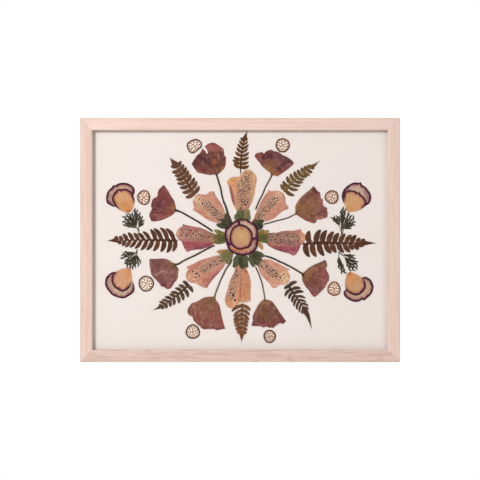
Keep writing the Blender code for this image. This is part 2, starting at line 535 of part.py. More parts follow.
def make_hanger():
    """A steel strap raised in the middle, with notches in its lower edge for the nail."""
    half, foot, run = HANGER_LENGTH / 2, HANGER_FOOT, HANGER_RUN
    step = HANGER_STEEL / 2
    near, far = HANGER_DEPTH, HANGER_DEPTH + HANGER_STEEL
    bend = half - foot
    strap = [(-half, near), (-bend + step, near), (-bend + run + step, near + HANGER_RISE),
             (bend - run - step, near + HANGER_RISE), (bend - step, near), (half, near),
             (half, far), (bend, far), (bend - run, far + HANGER_RISE), (-bend + run, far + HANGER_RISE),
             (-bend, far), (-half, far)]
    hanger = outline_curve("hanger", [(x, depth - FRAME_DEPTH) for x, depth in strap],
                           HANGER_HEIGHT, False)
    hanger.location = (0, 0, (HANGER_HEIGHT / 2 - TOOTH_DEPTH + TOOTH_FLAT) * MM)
    hanger = meshed(hanger, PARTS)
    hanger.data.materials.append(material("zinc steel", STEEL, 0.35, metallic=1.0))
    reach = NOTCHES * TOOTH_PITCH / 2
    comb = [(-reach, -2 * TOOTH_DEPTH), (-reach, -TOOTH_DEPTH)]
    for notch in range(NOTCHES):
        middle = (notch + 0.5) * TOOTH_PITCH - reach
        comb += [(middle, 0), (middle + TOOTH_PITCH / 2, -TOOTH_DEPTH)]
    comb.append((reach, -2 * TOOTH_DEPTH))
    cutter = outline_curve("tooth_cutter", comb, 4 * HANGER_RISE, False)
    cutter.rotation_euler = (math.radians(90), 0, 0)
    cutter.location = (0, (HANGER_DEPTH + HANGER_RISE - FRAME_DEPTH) * MM, 0)
    cutter = meshed(cutter, CUTTERS)
    cutter.hide_render = True
    cutter.display_type = "WIRE"
    cut = hanger.modifiers.new("teeth", "BOOLEAN")
    cut.operation = "DIFFERENCE"
    cut.solver = "EXACT"
    cut.object = cutter


def ribbon(points, width):
    """Outline of a strip of even width along a middle line."""
    line = [Vector(point) for point in points]
    left, right = [], []
    for index, here in enumerate(line):
        ahead = line[min(index + 1, len(line) - 1)] - line[max(index - 1, 0)]
        side = Vector((-ahead.y, ahead.x)).normalized() * width / 2
        left.append(tuple(here + side))
        right.append(tuple(here - side))
    return left + right[::-1]


def make_foxgloves():
    """Pressed bells, each with the calyx that it grows from."""
    for where, (colour, bell, calyx) in FOXGLOVES.items():
        name = f"foxglove_{where}"
        piece = flat_piece(name, bell, 0, colour, smooth=False)
        joined(piece, flat_piece(f"{name}_calyx", calyx, 0, colour, smooth=False))


def make_poppies():
    """Pressed poppy heads, each with its stem."""
    for where, (colour, head, stem) in POPPIES.items():
        name = f"poppy_{where}"
        piece = flat_piece(name, head, 0, colour, smooth=False)
        strip = flat_piece(f"{name}_stem", ribbon(stem, STEM_WIDTH), 0, colour, smooth=False)
        joined(piece, strip)
        if where == LEANING_POPPY:
            top = max(z for _, z in head)
            foot = min(z for _, z in stem)
            hinge = Matrix.Translation(picture_place(0, top, level_depth(0)))
            turn = Matrix.Rotation(-math.atan(LEAN / (top - foot)), 4, "X")
            for part in (piece, strip):
                part.matrix_world = hinge @ turn @ hinge.inverted() @ part.matrix_world


def along(line, share):
    """Place and direction at a share of the length of a middle line."""
    points = [Vector(point) for point in line]
    lengths = [(after - before).length for before, after in zip(points, points[1:])]
    left = share * sum(lengths)
    for before, after, length in zip(points, points[1:], lengths):
        if left <= length:
            break
        left -= length
    heading = (after - before).normalized()
    return before + heading * min(left, length), heading


def leaflet_side(line, leafy_share, tips, side):
    """Outline of one side of a fern, from its stalk to its last leaflet: root, belly and tip of each."""
    spacing_share = (leafy_share - LEAFLET_START) / len(tips)
    length = sum((Vector(after) - Vector(before)).length for before, after in zip(line, line[1:]))
    half = spacing_share * length * LEAFLET_FILL / 2
    outline = []
    for index, tip in enumerate(tips):
        root, heading = along(line, LEAFLET_START + (index + 0.5) * spacing_share)
        across = Vector((-heading.y, heading.x)) * side
        reach = Vector(tip) - root
        belly = root + reach * LEAFLET_BELLY
        downwards = Vector((-reach.y, reach.x)).normalized() * side * half
        downwards *= max(abs(reach.normalized().dot(across)), LEAFLET_NARROWEST)
        stalk = across * FERN_STALK / 2
        outline += [root - heading * half + stalk, belly + downwards, Vector(tip) + downwards / 4,
                    Vector(tip) - downwards / 4, belly - downwards, root + heading * half + stalk]
    return outline


def fern_outline(leafy_share, line, left_tips, right_tips):
    """Outline of a whole frond: up one side, round the tip and down the other."""
    foot, first_heading = along(line, 0)
    across = Vector((-first_heading.y, first_heading.x)) * FERN_STALK / 2
    left = [foot + across, *leaflet_side(line, leafy_share, left_tips, 1)]
    right = [foot - across, *leaflet_side(line, leafy_share, right_tips, -1)]
    return [tuple(point) for point in [*left, Vector(line[-1]), *right[::-1]]]


def sprig_outline(foot, tips):
    """Outline of a fan of branches: from the stem out to each tip and back to the fork beside it."""
    foot = Vector(foot)
    middle = sum((Vector(tip) for tip in tips), Vector((0, 0))) / len(tips)
    heading = (middle - foot).normalized()
    across = Vector((-heading.y, heading.x)) * SPRIG_STEM_WIDTH / 2
    if across.dot(Vector(tips[0]) - foot) < 0:
        across = -across
    outline = [foot + across]
    for index, tip in enumerate(tips):
        tip = Vector(tip)
        if index:
            before = Vector(tips[index - 1])
            outline.append(foot + ((before + tip) / 2 - foot) * SPRIG_NOTCH)
        outline.append(tip)
    outline.append(foot - across)
    return [tuple(point) for point in outline]


def make_leaves():
    """Fern fronds and conifer sprigs."""
    for where, (colour, *frond) in FERNS.items():
        flat_piece(f"fern_{where}", fern_outline(*frond), 0, colour, smooth=False)
    for where, (foot, *tips) in SPRIGS.items():
        flat_piece(f"sprig_{where}", sprig_outline(foot, tips), 0, SPRIG_GREEN, smooth=False)


def slice_outline(x, z, width, height, pull, phase):
    """Rim of a seed slice: an ellipse drawn out a little in three directions."""
    outline = []
    for step in range(SLICE_POINTS):
        angle = 2 * math.pi * step / SLICE_POINTS
        reach = 1 + pull * math.cos(3 * (angle - phase))
        outline.append((x + width / 2 * reach * math.cos(angle), z + height / 2 * reach * math.sin(angle)))
    return outline


def make_slices_and_petals():
    """Seed slices, the pairs of petals in the corners and the rosette in the middle."""
    for where, sizes in SEED_SLICES.items():
        flat_piece(f"seed_slice_{where}", slice_outline(*sizes), 0, SLICE_BROWN, smooth=False)
    for where, (back, front) in CORNER_PETALS.items():
        flat_piece(f"corner_petal_back_{where}", back, 0, CORNER_BACK)
        flat_piece(f"corner_petal_front_{where}", front, 1, CORNER_FRONT)
    for level, (where, petal) in enumerate(RING_PETALS.items(), start=1):
        flat_piece(f"centre_petal_{where}", petal, level, CENTRE_MAUVE)
    flat_piece("centre_petal_middle", MIDDLE_PETAL, len(RING_PETALS) + 1, CENTRE_TAN)


for thing in list(bpy.data.objects):
    bpy.data.objects.remove(thing)
PARTS = new_collection("pressed flower frame")
CUTTERS = new_collection("cutters")
make_frame()
make_hanger()
make_foxgloves()
make_poppies()
make_leaves()
make_slices_and_petals()
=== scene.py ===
"""Looks of the pressed flower frame.

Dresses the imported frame: the four wooden rails, the glass, the boards and the hanger keep their solids and
get their finishes, and every pressed specimen is built anew as thin dried plant matter in the place of its
solid. Specimens are laid out in millimetres right of and above the middle of the picture, with heights in
millimetres above the face of the mount board.
"""

from __future__ import annotations

import json
import logging
import math
from dataclasses import dataclass, field
from enum import Enum

import bpy
import numpy as np
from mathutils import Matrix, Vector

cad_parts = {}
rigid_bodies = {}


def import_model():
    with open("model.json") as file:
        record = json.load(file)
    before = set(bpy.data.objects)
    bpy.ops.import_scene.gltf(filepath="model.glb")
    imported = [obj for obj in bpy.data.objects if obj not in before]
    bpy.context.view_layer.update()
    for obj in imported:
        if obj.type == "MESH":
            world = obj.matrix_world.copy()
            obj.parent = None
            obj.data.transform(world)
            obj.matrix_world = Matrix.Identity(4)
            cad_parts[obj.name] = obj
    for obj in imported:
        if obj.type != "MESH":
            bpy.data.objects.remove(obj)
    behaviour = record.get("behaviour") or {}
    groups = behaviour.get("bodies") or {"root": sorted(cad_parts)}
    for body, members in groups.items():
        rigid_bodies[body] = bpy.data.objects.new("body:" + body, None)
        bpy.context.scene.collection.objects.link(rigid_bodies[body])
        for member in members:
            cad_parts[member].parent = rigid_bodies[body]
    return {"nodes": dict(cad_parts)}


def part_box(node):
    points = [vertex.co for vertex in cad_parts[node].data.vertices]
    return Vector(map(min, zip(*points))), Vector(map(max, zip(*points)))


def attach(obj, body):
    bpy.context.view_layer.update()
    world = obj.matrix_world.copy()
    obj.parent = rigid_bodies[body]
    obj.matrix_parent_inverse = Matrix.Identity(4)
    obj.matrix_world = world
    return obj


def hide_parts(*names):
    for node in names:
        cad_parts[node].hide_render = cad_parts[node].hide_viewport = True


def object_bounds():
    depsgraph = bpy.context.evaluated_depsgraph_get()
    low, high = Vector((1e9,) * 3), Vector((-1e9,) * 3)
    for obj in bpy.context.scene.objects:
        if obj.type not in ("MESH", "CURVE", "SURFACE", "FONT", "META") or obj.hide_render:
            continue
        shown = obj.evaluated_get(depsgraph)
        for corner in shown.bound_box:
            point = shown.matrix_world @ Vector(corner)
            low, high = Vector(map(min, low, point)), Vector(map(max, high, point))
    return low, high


for leftover in list(bpy.data.objects):
    bpy.data.objects.remove(leftover)
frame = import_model()
CAD_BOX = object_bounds()
LOG = logging.getLogger("pressed flower frame")

Place = tuple[float, float]
Chain = list[Place]
Colour = tuple[int, int, int]
Patch = tuple[np.ndarray, bool]
Waves = tuple[tuple[float, float], ...]
Socket = bpy.types.NodeSocket

MM = 0.001
BOARD_LOW, BOARD_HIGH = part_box("mount_board")
BOARD_FACE = BOARD_LOW.y / MM
MIDDLE_Z = (BOARD_LOW.z + BOARD_HIGH.z) / 2 / MM
FAR_FROM_EDGE = 9.0
FOOT_LENGTH = 0.3


# Colours and soft strokes of colour


def linear(colour: Colour) -> np.ndarray:
    """A 0 to 255 screen colour as the linear values that shaders take."""
    share = np.asarray(colour, float) / 255
    return np.where(share <= 0.04045, share / 12.92, ((share + 0.055) / 1.055) ** 2.4)


def rgba(colour: Colour, alpha: float = 1.0) -> tuple[float, ...]:
    """A 0 to 255 screen colour as four linear values for a colour socket."""
    return (*linear(colour).tolist(), alpha)


def smooth(value: np.ndarray, low: float, high: float) -> np.ndarray:
    """0 below low, 1 above high and an S-shaped rise, 3t^2 - 2t^3, between them."""
    share = np.clip((value - low) / (high - low), 0, 1)
    return share * share * (3 - 2 * share)


@dataclass(frozen=True)
class Stroke:
    """A soft stroke between two places: full on its line, gone at its reach."""

    x0: float
    z0: float
    x1: float
    z1: float
    reach: float
    colour: Colour = (0, 0, 0)
    strength: float = 1.0

    def weight(self, places: np.ndarray) -> np.ndarray:
        """Strength of the stroke at picture places.

        The distance to the nearest point of the segment is clamped to the stroke's reach, and the strength
        falls with it in an S-shape.

        Args:
            places: Picture places, in millimetres, in an array that ends in two values.

        Returns:
            One weight a place, from 0 to the stroke's strength.
        """
        start = np.array((self.x0, self.z0))
        run = np.array((self.x1, self.z1)) - start
        share = np.clip(((places - start) @ run) / max(run @ run, 1e-9), 0, 1)
        distance = np.linalg.norm(places - start - share[..., None] * run, axis=-1)
        return self.strength * smooth(-distance / self.reach, -1, -0.15)


def painted(places: np.ndarray, base: Colour, strokes: list[tuple]) -> np.ndarray:
    """Base colour with strokes laid over it one after another, as linear colours.

    Args:
        places: Picture places in an array that ends in two values.
        base: Screen colour under the strokes.
        strokes: Values of a Stroke each, in its order of fields.

    Returns:
        An array of the same shape with three linear values a place.
    """
    colours = np.broadcast_to(linear(base), (*places.shape[:-1], 3)).copy()
    for values in strokes:
        stroke = Stroke(*values)
        weight = stroke.weight(places)[..., None]
        colours = colours * (1 - weight) + linear(stroke.colour) * weight
    return colours


@dataclass(frozen=True)
class Ripple:
    """Gentle uneven swell over the picture, the same on each run."""

    seed: int
    wavelength: float

    def at(self, places: np.ndarray) -> np.ndarray:
        """Mean of nine plane sine waves in turned directions, stretched to about -1 to 1.

        Args:
            places: Picture places in an array that ends in two values.

        Returns:
            One height a place.
        """
        draw = np.random.default_rng(self.seed)
        angles = draw.uniform(0, 2 * np.pi, 9)
        numbers = 2 * np.pi / (self.wavelength * draw.uniform(0.6, 1.7, 9))
        phases = draw.uniform(0, 2 * np.pi, 9)
        directions = np.stack((np.cos(angles), np.sin(angles))) * numbers
        return np.sin(places @ directions + phases).mean(-1) * 2.1


def wrinkled(places: np.ndarray, seed: int, waves: Waves) -> np.ndarray:
    """Sum of ripples of different sizes, each given by its height and its wavelength."""
    return sum(height * Ripple(seed + order, length).at(places)
               for order, (height, length) in enumerate(waves, 2))


# Lines in the picture


def rounded(chain: Chain, closed: bool = False, steps: int = 10) -> np.ndarray:
    """Smooth line through every point of a chain.

    Between two neighbours the line is the Catmull-Rom cubic of the four nearest points.

    Args:
        chain: Points of the line.
        closed: Whether the line returns to its first point.
        steps: Points worked out between two neighbours.

    Returns:
        Points of the line, two values each. A closed line ends where it starts.
    """
    points = np.asarray(chain, float)
    if closed:
        points = np.concatenate((points[-1:], points, points[:2]))
    else:
        points = np.concatenate((2 * points[:1] - points[1:2], points, 2 * points[-1:] - points[-2:-1]))
    p0, p1, p2, p3 = (points[k:len(points) - 3 + k, None] for k in range(4))
    t = np.arange(steps)[None, :, None] / steps
    line = 0.5 * (2 * p1 + (p2 - p0) * t + (2 * p0 - 5 * p1 + 4 * p2 - p3) * t**2
                  + (3 * p1 - p0 - 3 * p2 + p3) * t**3)
    return np.concatenate((line.reshape(-1, 2), points[-2:-1]))


def evenly(line: np.ndarray, count: int, shares: np.ndarray | None = None) -> np.ndarray:
    """Points at even steps of length along a line, or at the given shares of its length.

    Args:
        line: Points of the line.
        count: Number of points at even steps.
        shares: Shares of the line's length, in place of even steps.

    Returns:
        The points.
    """
    lengths = np.concatenate(([0], np.cumsum(np.linalg.norm(np.diff(line, axis=0), axis=1))))
    wanted = (np.linspace(0, 1, count) if shares is None else shares) * lengths[-1]
    return np.stack([np.interp(wanted, lengths, line[:, axis]) for axis in (0, 1)], axis=-1)


def distance_to(places: np.ndarray, line: np.ndarray) -> np.ndarray:
    """Distance of each place to the nearest point of a finely divided line.

    Args:
        places: Picture places in an array that ends in two values.
        line: The line.

    Returns:
        One distance a place.
    """
    fine = evenly(line, 500)
    flat = places.reshape(-1, 2)
    nearest = np.min(np.linalg.norm(flat[:, None] - fine[None], axis=-1), axis=1)
    return nearest.reshape(places.shape[:-1])


def frayed(line: np.ndarray, amount: float, seed: int) -> np.ndarray:
    """Line with small uneven jags across it, left as it is at both ends.

    Args:
        line: Points of the line.
        amount: Size of the jags.
        seed: Choice of the jags.

    Returns:
        The line's points, moved across it.
    """
    along = np.gradient(line, axis=0)
    across = np.stack((-along[:, 1], along[:, 0]), axis=-1)
    across /= np.maximum(np.linalg.norm(across, axis=1, keepdims=True), 1e-9)
    jag = Ripple(seed, 2.6).at(line) + 0.6 * Ripple(seed + 1, 1.1).at(line)
    fade = np.sin(np.linspace(0, np.pi, len(line))) ** 0.3
    return line + across * (amount * jag * fade)[:, None]


# Closed shells of one piece


@dataclass
class Skin:
    """Points, faces and painted values of one piece, gathered shell by shell."""

    points: list[np.ndarray] = field(default_factory=list)
    faces: list[list[int]] = field(default_factory=list)
    soft: list[bool] = field(default_factory=list)
    paint: dict[str, list[np.ndarray]] = field(default_factory=dict)
    count: int = 0

    def add(self, points: np.ndarray, faces: list[Patch], paint: dict[str, np.ndarray]) -> None:
        """Adds one closed shell.

        Args:
            points: Places in the row frame, in millimetres.
            faces: Arrays of point numbers, each with whether its faces are shaded smooth.
            paint: One value or one row of values a point, by name.
        """
        self.points.append(points)
        for numbers, is_soft in faces:
            self.faces.extend((numbers + self.count).tolist())
            self.soft.extend([is_soft] * len(numbers))
        for name, values in paint.items():
            self.paint.setdefault(name, []).append(values)
        self.count += len(points)

    def mesh(self, name: str) -> bpy.types.Mesh:
        """The gathered shells as a mesh in metres, with a UV map and an attribute for each painted value.

        Args:
            name: Name of the mesh.

        Returns:
            The mesh.
        """
        made = bpy.data.meshes.new(name)
        made.from_pydata(np.concatenate(self.points) * MM, [], self.faces)
        made.polygons.foreach_set("use_smooth", self.soft)
        corners = np.empty(len(made.loops), np.int32)
        made.loops.foreach_get("vertex_index", corners)
        for label, parts in self.paint.items():
            values = np.concatenate(parts)
            if label == "uv":
                made.uv_layers.new(name="UVMap").data.foreach_set("uv", values[corners].ravel())
            elif values.ndim == 2:
                colours = np.concatenate((values, np.ones((len(values), 1))), axis=1)
                made.attributes.new(label, "FLOAT_COLOR", "POINT").data.foreach_set("color", colours.ravel())
            else:
                made.attributes.new(label, "FLOAT", "POINT").data.foreach_set("value", values)
        made.update()
        return made


def on_board(places: np.ndarray, heights: np.ndarray) -> np.ndarray:
    """Picture places and heights above the board as places in the row frame, in millimetres."""
    return np.stack((places[..., 0], BOARD_FACE - heights, MIDDLE_Z + places[..., 1]), axis=-1)


def area_of(loop: np.ndarray) -> float:
    """Area inside a loop of picture places: positive where it runs anticlockwise for the viewer."""
    ahead = np.roll(loop, -1, axis=0)
    return float(np.sum(loop[:, 0] * ahead[:, 1] - ahead[:, 0] * loop[:, 1]) / 2)


def border_of(grid: np.ndarray) -> np.ndarray:
    """The outer rows and columns of a grid in order round it."""
    return np.concatenate((grid[0, :-1], grid[:-1, -1], grid[-1, :0:-1], grid[:0:-1, 0]))


def sheet_faces(rows: int, columns: int, soft: bool = True) -> list[Patch]:
    """Faces of a closed sheet over a grid: front, back, and the band of quads that joins their borders.

    Args:
        rows: Rows of the grid.
        columns: Columns of the grid.
        soft: Whether front and back are shaded smooth.

    Returns:
        The three patches of faces; the back's points follow the front's.
    """
    index = np.arange(rows * columns).reshape(rows, columns)
    corners = (index[:-1, :-1], index[:-1, 1:], index[1:, 1:], index[1:, :-1])
    front = np.stack(corners, axis=-1).reshape(-1, 4)
    rim = border_of(index)
    ahead = np.roll(rim, -1)
    side = np.stack((ahead, rim, rim + index.size, ahead + index.size), axis=-1)
    return [(front, soft), (front[:, ::-1] + index.size, soft), (side, False)]


def tube_faces(rings: int, sides: int) -> tuple[np.ndarray, np.ndarray, np.ndarray]:
    """Faces of a row of rings: the wall, and a fan at each end to one of two points that follow the rings.

    Args:
        rings: Number of rings.
        sides: Points of each ring.

    Returns:
        The faces of the wall, the first fan and the last fan.
    """
    index = np.arange(rings * sides).reshape(rings, sides)
    ahead = np.roll(index, -1, axis=1)
    wall = np.stack((index[:-1], ahead[:-1], ahead[1:], index[1:]), axis=-1).reshape(-1, 4)
    first = np.stack((np.full(sides, index.size), ahead[0], index[0]), axis=-1)
    last = np.stack((np.full(sides, index.size + 1), index[-1], ahead[-1]), axis=-1)
    return wall, first, last


def add_sheet(skin: Skin, places: np.ndarray, heights: np.ndarray, thickness: float,
              paint: dict[str, np.ndarray]) -> None:
    """Adds a thin closed sheet over a grid of picture places.

    The front is the grid at its heights, and the back the same grid lower by the thickness.

    Args:
        skin: Skin that gets the shell.
        places: Rows and columns of picture places.
        heights: Height of the front above the board at each of them.
        thickness: Thickness of the sheet.
        paint: Values at each of them, by name.
    """
    if area_of(border_of(places)) < 0:
        places, heights = places[:, ::-1], heights[:, ::-1]
        paint = {name: values[:, ::-1] for name, values in paint.items()}
    layers = [on_board(places, lift).reshape(-1, 3) for lift in (heights, heights - thickness)]
    both = {name: np.concatenate([values.reshape(heights.size, *values.shape[2:])] * 2)
            for name, values in paint.items()}
    skin.add(np.concatenate(layers), sheet_faces(*heights.shape), both)


def add_fan(skin: Skin, places: np.ndarray, heights: np.ndarray, thickness: np.ndarray,
            paint: dict[str, np.ndarray]) -> None:
    """Adds a thin closed sheet over rings of picture places round a pole.

    Row 0 is the pole, repeated, and each further row is a ring. Front and back are joined at the last ring.

    Args:
        skin: Skin that gets the shell.
        places: Rings and spokes of picture places.
        heights: Height of the front above the board at each of them.
        thickness: Thickness at each of them.
        paint: Values at each of them, by name.
    """
    if area_of(places[-1]) < 0:
        places, heights, thickness = places[:, ::-1], heights[:, ::-1], thickness[:, ::-1]
        paint = {name: values[:, ::-1] for name, values in paint.items()}
    rings, spokes = heights.shape
    size = 1 + (rings - 1) * spokes

    def packed(values: np.ndarray) -> np.ndarray:
        """The values with the pole once and the rings after it."""
        return np.concatenate((values[0, :1], values[1:].reshape(-1, *values.shape[2:])))

    index = 1 + np.arange((rings - 1) * spokes).reshape(rings - 1, spokes)
    ahead = np.roll(index, -1, axis=1)
    front = np.stack((index[:-1], index[1:], ahead[1:], ahead[:-1]), axis=-1).reshape(-1, 4)
    tip = np.stack((np.zeros(spokes, int), index[0], ahead[0]), axis=-1)
    side = np.stack((ahead[-1], index[-1], index[-1] + size, ahead[-1] + size), axis=-1)
    points = np.concatenate([packed(on_board(places, lift)) for lift in (heights, heights - thickness)])
    both = {name: np.concatenate([packed(values)] * 2) for name, values in paint.items()}
    soft = [(faces, True) for faces in (front, tip, front[:, ::-1] + size, tip[:, ::-1] + size)]
    skin.add(points, [*soft, (side, False)], both)


def add_stalk(skin: Skin, line: np.ndarray, widths: np.ndarray, tall: np.ndarray, middles: np.ndarray,
              tint: np.ndarray, sides: int = 12) -> None:
    """Adds a round or flattened stalk: an ellipse carried along a line and closed by a point at each end.

    Args:
        skin: Skin that gets the shell.
        line: Picture places of the middle line.
        widths: Full width at each of them.
        tall: Full height at each of them.
        middles: Height of the middle above the board at each of them.
        tint: Linear colour at each of them.
        sides: Points round the ellipse.
    """
    along = np.gradient(line, axis=0)
    along /= np.linalg.norm(along, axis=1, keepdims=True)
    across = np.stack((along[:, 1], -along[:, 0]), axis=-1)
    turn = 2 * np.pi * np.arange(sides) / sides
    count = len(line)
    places = line[:, None] + across[:, None] * (np.cos(turn)[None, :] * widths[:, None] / 2)[..., None]
    heights = middles[:, None] + np.sin(turn)[None, :] * tall[:, None] / 2
    rings = on_board(places, heights)
    ends = on_board(line[[0, -1]], middles[[0, -1]])
    points = np.concatenate((rings.reshape(-1, 3), ends))
    uv = np.stack(np.broadcast_arrays(np.arange(sides)[None, :] / sides,
                                      np.linspace(0, 1, count)[:, None]), axis=-1).reshape(-1, 2)
    paint = {
        "tint": np.concatenate((np.repeat(tint, sides, axis=0), tint[[0, -1]])),
        "uv": np.concatenate((uv, [[0.5, 0], [0.5, 1]])),
        "edge": np.full(len(points), FAR_FROM_EDGE),
    }
    skin.add(points, [(faces, True) for faces in tube_faces(count, sides)], paint)


# Nodes


@dataclass
class NodeDesk:
    """Adds and joins the nodes of one material, group or world."""

    tree: bpy.types.NodeTree

    def add(self, kind: str, inputs: dict | None = None, **settings: object) -> bpy.types.Node:
        """Adds a node.

        Args:
            kind: Type of the node after its ShaderNode prefix.
            inputs: Values or sockets by the name or number of the input they go to.
            settings: Properties of the node.

        Returns:
            The node.
        """
        node = self.tree.nodes.new(f"ShaderNode{kind}")
        for name, value in settings.items():
            setattr(node, name, value)
        return self.fill(node, inputs or {})

    def put(self, socket: Socket, value: object) -> None:
        """Links a socket to an input, or sets the input's own value."""
        if isinstance(value, Socket):
            self.tree.links.new(value, socket)
        else:
            socket.default_value = value

    def math(self, operation: str, first: object, second: object = 0.0) -> Socket:
        """One sum on two numbers."""
        return self.add("Math", {0: first, 1: second}, operation=operation).outputs[0]

    def mix(self, share: object, first: object, second: object, blend: str = "MIX") -> Socket:
        """Two colours mixed by a share."""
        return self.add("Mix", {0: share, 6: first, 7: second}, data_type="RGBA", blend_type=blend).outputs[2]

    def laid(self, under: object, over: object, mask: object, amount: object) -> Socket:
        """A colour with another laid over it by the product of a mask and an amount."""
        return self.mix(self.math("MULTIPLY", mask, amount), under, over)

    def off_middle(self, value: object, amount: object) -> Socket:
        """How far a noise value is from its middle of 0.5, times an amount."""
        return self.math("MULTIPLY", self.math("SUBTRACT", value, 0.5), amount)

    def fit(self, value: object, low: object, high: object, to_low: object = 0.0, to_high: object = 1.0,
            soft: bool = True) -> Socket:
        """A value carried from one range to another, held at its ends.

        Args:
            value: The value.
            low: Start of the first range.
            high: End of the first range.
            to_low: Start of the second range.
            to_high: End of the second range.
            soft: Whether the way between them is S-shaped.

        Returns:
            The carried value.
        """
        inputs = {"Value": value, "From Min": low, "From Max": high, "To Min": to_low, "To Max": to_high}
        kind = "SMOOTHSTEP" if soft else "LINEAR"
        return self.add("MapRange", inputs, interpolation_type=kind).outputs["Result"]

    def value(self, name: str) -> Socket:
        """A painted number of the piece."""
        return self.add("Attribute", attribute_name=name).outputs["Fac"]

    def colour(self, name: str) -> Socket:
        """A painted colour of the piece."""
        return self.add("Attribute", attribute_name=name).outputs["Color"]

    def where(self) -> Socket:
        """Object coordinates, in metres."""
        return self.add("TexCoord").outputs["Object"]

    def uv(self) -> Socket:
        """The piece's own UV map."""
        return self.add("UVMap", uv_map="UVMap").outputs["UV"]

    def scaled(self, vector: object, scale: tuple[float, float, float],
               turn: tuple[float, float, float] = (0, 0, 0)) -> Socket:
        """A vector stretched, after a turn in radians."""
        return self.add("Mapping", {"Vector": vector, "Rotation": turn, "Scale": scale}).outputs[0]

    def noise(self, vector: object, scale: object, detail: float = 3.0, roughness: float = 0.5,
              distortion: float = 0.0) -> Socket:
        """Cloudy noise from 0 to 1."""
        inputs = {"Vector": vector, "Scale": scale, "Detail": detail, "Roughness": roughness,
                  "Distortion": distortion}
        return self.add("TexNoise", inputs).outputs["Fac"]

    def fill(self, node: bpy.types.Node, inputs: dict) -> bpy.types.Node:
        """Puts values or sockets into a node's inputs, by their names or numbers."""
        for name, value in inputs.items():
            self.put(node.inputs[name], value)
        return node

    def group(self, tree: bpy.types.NodeTree, inputs: dict) -> bpy.types.Node:
        """One of the shared effects with its own values."""
        return self.fill(self.add("Group", node_tree=tree), inputs)

    def bump(self, height: object, distance: float, strength: float = 1.0) -> Socket:
        """A normal from a height of 0 to 1 and its depth in metres."""
        return self.add("Bump", {"Height": height, "Distance": distance, "Strength": strength}).outputs[0]


def new_group(name: str, inputs: dict[str, tuple[str, float | None]], outputs: dict[str, str]) -> tuple:
    """An empty node group with its sockets.

    Args:
        name: Name of the group.
        inputs: Socket type and default value by input name.
        outputs: Socket type by output name.

    Returns:
        The group's tree, its desk, its input node and its output node.
    """
    tree = bpy.data.node_groups.new(name, "ShaderNodeTree")
    for label, (kind, default) in inputs.items():
        socket = tree.interface.new_socket(label, in_out="INPUT", socket_type=f"NodeSocket{kind}")
        if default is not None:
            socket.default_value = default
    for label, kind in outputs.items():
        tree.interface.new_socket(label, in_out="OUTPUT", socket_type=f"NodeSocket{kind}")
    desk = NodeDesk(tree)
    return tree, desk, desk.tree.nodes.new("NodeGroupInput"), desk.tree.nodes.new("NodeGroupOutput")


